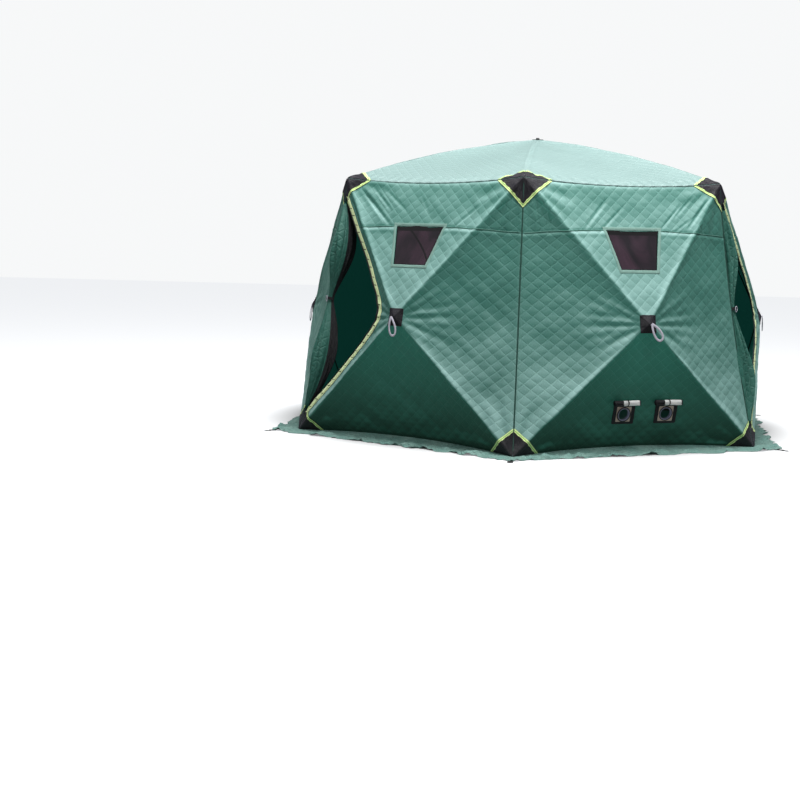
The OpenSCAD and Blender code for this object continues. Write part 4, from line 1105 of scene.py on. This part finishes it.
def gathered_door(k, rows=150, cols=150, turns=1.55):
    """The door as a spiral about its bundle's middle line: from the seam the angle runs through all the
    turns as the radius shrinks to a fifth. Folds add sines of the angle, which drift down the length."""
    t = np.linspace(BUNDLE_TOP, BUNDLE_BASE, rows)[:, None]
    w = np.linspace(0, 1, cols)[None, :]
    angle = -np.pi / 2 + turns * 2 * np.pi * w
    size = bundle_radius(t)
    loose = np.clip((size - WAIST_R) / (BUNDLE_R - WAIST_R), 0.0, 1.2)
    shrink = 1 - 0.80 * w ** 0.9
    wave = 0.13 * np.sin(4 * angle + 7 * t + 1.3 * k) + 0.14 * np.sin(9 * angle - 9 * t)
    wave = (wave + 0.075 * np.sin(16 * angle + 14 * t)) * loose
    gather = 0.055 * np.cos(11 * angle + 4 * t) * (1 - unit(loose)) * (1 - w)
    flare = 0.05 * unit(1 - abs(t - WAIST_AT) / 0.1)
    r = size * shrink * (1 + wave + gather) * (1 - flare)
    near = unit(1 - abs(t - WAIST_AT) / 0.06)
    middle_x = seam_r(t) - BUNDLE_IN
    middle_y = size * 1.02 + 0.0004 + 0.0036 * near
    thick = np.minimum(0.0045, 0.16 * size * np.maximum(shrink, 0.3))
    sides = []
    for inset in (0.0, 1.0):
        rr = r - inset * thick
        x = middle_x - FLAP_IN * size + (0.9 + FLAP_IN) * rr * np.cos(angle)
        y = middle_y + rr * np.sin(angle)
        z = EAVE_Z * (1 - t) + 0 * w + 0.006 * np.sin(3 * angle) * loose
        sides.append(turned(np.stack([x, y, z], -1), corner_turn(k)))
    uv = pairs(w * 0.86 * (0.4 + loose * 0.6), -t * 2.0)
    return closed_sheet(*sides, uv=uv, under_kind=1)


# The door is the walls' cloth given a darker colour, as painted shade in its gathered folds
shaded_door_cloth = cloth("quilted_door_cloth", shade(42, 96, 84), quilted=1.8, fade=0.2, dust=0.1, roughness=0.55,
                   crumple=0.006, crumple_scale=8.0)
for k, name in ((5, "front_left_door_flap"), (1, "right_door_flap")):
    points, (skin, under, rim), uv, kinds = gathered_door(k)
    bands = [band.reshape(-1, 4) for band in np.split(skin.reshape(149, 149, 4), TAPE_COLS, axis=1)]
    part = points, [*bands, under, rim], uv, [0, 2, 0, 1, 2]
    made = piece(name, [part], [shaded_door_cloth, lining_cloth, zip_tape], [name], sharp=70)

# The tie: black webbing round each waist, with a small light buckle at its outer side
black_webbing = cloth("black_webbing", shade(24, 24, 28), fade=0.2, dust=0.15, roughness=0.8, threads=1300.0,
                      weave_depth=0.0006, source="Object")


def dress(node, material):
    """Gives a CAD node this material in every slot."""
    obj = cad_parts[node]
    if not obj.data.materials:
        obj.data.materials.append(material)
    for slot in obj.material_slots:
        slot.material = material


dress("door_ties", black_webbing)
dress("anchor_tabs", black_webbing)
buckles = []
for k in DOOR_WALLS:
    a = np.linspace(0, 2 * np.pi, 40, endpoint=False)
    r = seam_r(WAIST_AT) - BUNDLE_IN
    ring = pairs(r + WAIST_R + 0.0065, WAIST_R + 0.004 + 0.015 * np.cos(a),
                 EAVE_Z * (1 - WAIST_AT) + 0.022 * np.sin(a))
    out = np.broadcast_to([1.0, 0, 0], ring.shape)
    ring, out = turned(ring, corner_turn(k)), turned(out, corner_turn(k))
    buckles.append(sweep(ring, 10, 0.0030, 0.0026, out, closed=True))
piece("tie_buckles", buckles, [webbing])

# ---- Vent ports ----
# Two round ports low in one wall. Each has a black sewn frame, a beige stiffener under the corners of the
# port's ring, a moulded ring with a short pale sleeve, and a cover rolled up above it under a strap.


def vent_axes(side):
    """A port's middle on the wall, and the directions right, up and out there, in the wall's frame."""
    u, v = on_wall(VENT_SHIFT + side * VENT_PITCH / 2, VENT_Z)
    middle, out = wall_surface(u, v), facing(wall_surface, u, v, 0.04)
    right = np.cross([0, 0, 1.0], out)
    right = right / np.linalg.norm(right)
    return middle, right, np.cross(out, right), out


def placed(side, right, up, out):
    """Points given in a port's own frame, in place."""
    middle, r, w, o = vent_axes(side)
    right, up, out = np.broadcast_arrays(right, up, out)
    p = middle + right[..., None] * r + up[..., None] * w + out[..., None] * o
    return turned(p, wall_turn(VENT_WALL))


def port_frame(side, half_w, half_h, radius, profile):
    """A flat frame between a circle and a rectangle: each profile point is (share of the way out, height)."""
    a = np.linspace(0, 2 * np.pi, 96, endpoint=False)
    reach = 1 / np.maximum(abs(np.cos(a)) / half_w, abs(np.sin(a)) / half_h)
    share, high = np.array(profile).T
    r = radius + (reach[:, None] - radius) * share[None, :]
    right, up = r * np.cos(a)[:, None], r * np.sin(a)[:, None]
    y, z = VENT_SHIFT + side * VENT_PITCH / 2 + right, VENT_Z + up
    u, v = on_wall(y, z)
    return looped(wall_skin(VENT_WALL, u, v, high[None, :]), np.stack([right, up], -1))


def turned_ring(side, profile, count=72):
    """A ring turned about the port's axis from a profile of (radius, height out of the wall)."""
    a = np.linspace(0, 2 * np.pi, count, endpoint=False)[:, None]
    r, h = np.array(profile).T
    return looped(placed(side, r * np.cos(a), r * np.sin(a), h), pairs(r[None, :], a * 0.05))


def moulded(name, colour, roughness=0.45, scale=260.0, depth=0.0002, coat=0.0):
    """Moulded plastic: a fine grain in the bump, and a colour that rubs paler in patches."""
    material, tree, shader = new_material(name)
    where = add(tree, "TexCoord").outputs["Object"]
    rubbed = use_group(tree, fading, {"Vector": where, "Color": colour, "Fade": 0.35, "Scale": 14.0,
                                      "Dust": 0.2})
    grain = add(tree, "TexNoise", {"Vector": where, "Scale": scale, "Detail": 3.0})
    bump = add(tree, "Bump", {"Strength": 1.0, "Distance": depth * 5, "Height": grain.outputs[0]})
    rough = ramped(tree, rubbed.outputs["Patch"], 0.3, 0.7, roughness - 0.08, roughness + 0.1)
    tree.links.new(rubbed.outputs["Color"], shader.inputs["Base Color"])
    tree.links.new(rough, shader.inputs["Roughness"])
    tree.links.new(bump.outputs[0], shader.inputs["Normal"])
    settle(shader, {"Coat Weight": coat})
    return material


vent_canvas = cloth("black_vent_cloth", shade(22, 21, 26), fade=0.25, dust=0.2, roughness=0.6, threads=2000.0)
stiffener = cloth("beige_stiffener", shade(206, 186, 172), fade=0.1, dust=0.1, roughness=0.7, threads=2000.0)
black_plastic = moulded("black_moulded_plastic", shade(26, 26, 30))
sleeve_plastic = moulded("pale_sleeve_plastic", shade(150, 146, 172), roughness=0.35)
sides = (-1, 1)
frame_profile = [(0.0, 0.0002), (0.0, 0.0028), (0.5, 0.0030), (0.80, 0.0030), (0.86, 0.0046), (0.97, 0.0046),
                 (1.0, 0.0026), (1.0, 0.0000)]
piece("vent_frames", [port_frame(i, VENT_W / 2, VENT_H / 2, VENT_R, frame_profile) for i in sides],
      [vent_canvas], ["vent_patches"])
STIFF_W, STIFF_H = 0.120, 0.112
square = [(0.0, 0.0032), (0.0, 0.0046), (0.5, 0.0048), (0.95, 0.0046), (1.0, 0.0034)]
piece("vent_stiffeners", [port_frame(i, STIFF_W / 2, STIFF_H / 2, VENT_R, square) for i in sides],
      [stiffener])
ring = [(0.0480, 0.0050), (0.0480, 0.0078), (0.0500, 0.0094), (0.0545, 0.0094), (0.0570, 0.0078),
        (0.0575, 0.0050)]
sleeve = [(0.0430, -0.016), (0.0430, 0.0070), (0.0440, 0.0084), (0.0480, 0.0084), (0.0490, 0.0060),
          (0.0490, -0.016)]
rings = [turned_ring(i, ring) for i in sides]
sleeves = [(*turned_ring(i, sleeve)[:3], [1]) for i in sides]
piece("vent_rings", rings + sleeves, [black_plastic, sleeve_plastic], ["vent_collars"],
      sharp=40)

ROLL_L, ROLL_R, ROLL_CLOTH = 0.217, 0.0225, 0.0022
# The roll's middle line from the port's: right, up, and out of the wall
ROLL_RIGHT, ROLL_UP, ROLL_OUT = -0.003, VENT_H / 2 + ROLL_R + 0.002, ROLL_R + 0.006


def rolled_cover(side):
    """Cloth rolled into two and a half turns, its ends showing the spiral: r = R (0.22 + 0.78 w) with w
    from the roll's heart to its loose edge, slightly lumpy along its length and drawn in under the strap."""
    w = np.linspace(0, 1, 110)[None, :]
    run = np.linspace(-0.5, 0.5, 36)[:, None]
    angle = 2.6 * 2 * np.pi * w + 2.2
    base = ROLL_R * (0.22 + 0.78 * w)
    lump = 1 + 0.035 * np.sin(9 * run + 3 * angle + side) + 0.02 * np.sin(31 * run + angle)
    pinch = 1 - 0.13 * hump(run - 0.02, 0.035)
    faces = []
    for inset in (0.0, ROLL_CLOTH):
        r = base * lump * pinch - inset
        faces.append(placed(side, ROLL_RIGHT + run * ROLL_L + 0.004 * w, ROLL_UP + r * np.sin(angle),
                            ROLL_OUT + r * np.cos(angle)))
    return closed_sheet(*faces, uv=pairs(run + 0.5, w * 0.2))


cover_cloth = cloth("vent_cover_cloth", shade(24, 23, 28), fade=0.2, dust=0.1, roughness=0.6, threads=2000.0)
tree, shader, plain = colour_of(cover_cloth)
run = add(tree, "SeparateXYZ", {0: add(tree, "TexCoord").outputs["UV"]}).outputs[0]
white = sums(tree, "MULTIPLY", sums(tree, "GREATER_THAN", run, 0.33), sums(tree, "LESS_THAN", run, 0.95))
banded = mixed(tree, white, plain, shade(236, 236, 234))
tree.links.new(banded, shader.inputs["Base Color"])
made = piece("vent_covers", [rolled_cover(i) for i in sides], [cover_cloth],
             ["vent_covers"], sharp=70)
straps, STRAP_R = [], 0.0212
for i in sides:
    a = np.linspace(0, 2 * np.pi, 40, endpoint=False)
    path = placed(i, ROLL_RIGHT + 0.02 * ROLL_L, ROLL_UP + STRAP_R * np.sin(a),
                  ROLL_OUT + STRAP_R * np.cos(a))
    middle, r, w, o = vent_axes(i)
    out = turned(np.cos(a)[:, None] * o + np.sin(a)[:, None] * w, wall_turn(VENT_WALL))
    straps.append(sweep(path, 8, 0.0048, 0.0012, out, closed=True))
piece("vent_straps", straps, [vent_canvas])

# ---- Rods, hubs and feet ----
# Black fibreglass rods run from the hub in each wall to its four corners, and along the roof's hips. They
# are pushed into the sockets of moulded plastic hubs, corner joints and feet.

fibreglass = moulded("black_fibreglass", shade(20, 20, 22), roughness=0.32, scale=420.0, depth=0.00008,
                     coat=0.3)
for wall in WALLS:
    dress("rods_" + wall, fibreglass)
dress("roof_rods", fibreglass)
for joint in ("wall_hubs", "eave_joints", "corner_feet", "roof_hub", "roof_cap"):
    dress(joint, black_plastic)

# ---- Floor, light and camera ----
# A plain pale floor under a large soft light overhead, with a weak fill all round. The camera stands in
# front of the near corner, a little to its right, at the height of a standing person's eyes.

FLOOR_SIZE = 60.0
# The camera sees the floor glow from here outwards, up to a full glow, so that it stays pale round the hut
FLOOR_DARK_TO, FLOOR_PALE_FROM, FLOOR_GLOW = 1.75, 2.45, 0.74
floor_mesh = bpy.data.meshes.new("floor")
half = FLOOR_SIZE / 2
floor_mesh.from_pydata([(-half, -half, 0), (half, -half, 0), (half, half, 0), (-half, half, 0)], [],
                       [(0, 1, 2, 3)])
floor = bpy.data.objects.new("floor", floor_mesh)
bpy.context.scene.collection.objects.link(floor)
floor_paint, tree, paint = new_material("pale_floor")
seen = add(tree, "LightPath").outputs["Is Camera Ray"]
tone = mixed(tree, seen, (0.17, 0.18, 0.18, 1), (0.40, 0.40, 0.40, 1))
tree.links.new(tone, paint.inputs["Base Color"])
settle(paint, {"Roughness": 0.9, "Emission Color": (0.95, 0.97, 1.0, 1), "Specular IOR Level": 0.1})
spot = add(tree, "TexCoord").outputs["Object"]
reach = add(tree, "VectorMath", {0: spot}, operation="LENGTH").outputs["Value"]
outside = ramped(tree, reach, FLOOR_DARK_TO, FLOOR_PALE_FROM, 0.0, FLOOR_GLOW, smooth=True)
tree.links.new(sums(tree, "MULTIPLY", seen, outside), paint.inputs["Emission Strength"])
floor_mesh.materials.append(floor_paint)

# The sky room: palest overhead, dimmer towards the floor line
world = bpy.data.worlds.new("studio")
world.use_nodes = True
tree = world.node_tree
height = add(tree, "SeparateXYZ", {0: add(tree, "TexCoord").outputs["Generated"]}).outputs[2]
ramp = add(tree, "ValToRGB", {0: height})
marks = ramp.color_ramp.elements
for stop, (at, level) in zip((marks[0], marks[1], marks.new(0.25)), ((0.0, 0.12), (1.0, 1.0), (0.25, 0.64))):
    stop.position, stop.color = at, (0.95 * level, 0.98 * level, level, 1)
tree.links.new(ramp.outputs[0], tree.nodes["Background"].inputs["Color"])
tree.nodes["Background"].inputs["Strength"].default_value = 0.45
seen = add(tree, "LightPath").outputs["Is Camera Ray"]
backdrop = add(tree, "Background", {"Color": (0.93, 0.94, 0.945, 1), "Strength": 1.0})
either = add(tree, "MixShader", {0: seen, 1: tree.nodes["Background"].outputs[0], 2: backdrop.outputs[0]})
tree.links.new(either.outputs[0], tree.nodes["World Output"].inputs["Surface"])
bpy.context.scene.world = world
bpy.context.scene.view_settings.view_transform = "Standard"


def soft_light(name, place, target, size, power, colour=(1, 1, 1)):
    """A square soft light at a place, turned to face a target."""
    data = bpy.data.lights.new(name, "AREA")
    data.shape, data.size, data.energy, data.color = "SQUARE", size, power, colour
    lamp = bpy.data.objects.new(name, data)
    gap = Vector(target) - Vector(place)
    lamp.matrix_world = Matrix.Translation(place) @ gap.to_track_quat("-Z", "Y").to_matrix().to_4x4()
    bpy.context.scene.collection.objects.link(lamp)


soft_light("overhead", (0.7, -2.6, 9.0), (0, 0, 1), 5.0, 1500, (1.0, 1.0, 1.0))

EYE_TURN, EYE_REACH, EYE_H = math.radians(3.09), 12.641, 1.573
YAW, PITCH, ROLL = math.radians(-4.95), math.radians(6.37), math.radians(1.18)
LENS, SENSOR = 67.85, 36.0
way = EYE_TURN - YAW
ahead = Vector((-math.sin(way) * math.cos(PITCH), math.cos(way) * math.cos(PITCH), -math.sin(PITCH)))
level_right = ahead.cross(Vector((0, 0, 1))).normalized()
level_up = level_right.cross(ahead)
right = level_right * math.cos(ROLL) + level_up * math.sin(ROLL)
up = level_up * math.cos(ROLL) - level_right * math.sin(ROLL)
camera = bpy.data.objects.new("camera", bpy.data.cameras.new("camera"))
camera.data.lens, camera.data.sensor_width = LENS, SENSOR
eye = Vector((math.sin(EYE_TURN) * EYE_REACH, -math.cos(EYE_TURN) * EYE_REACH, EYE_H))
camera.matrix_world = Matrix(((right.x, up.x, -ahead.x, eye.x), (right.y, up.y, -ahead.y, eye.y),
                              (right.z, up.z, -ahead.z, eye.z), (0, 0, 0, 1)))
bpy.context.scene.collection.objects.link(camera)
bpy.context.scene.camera = camera
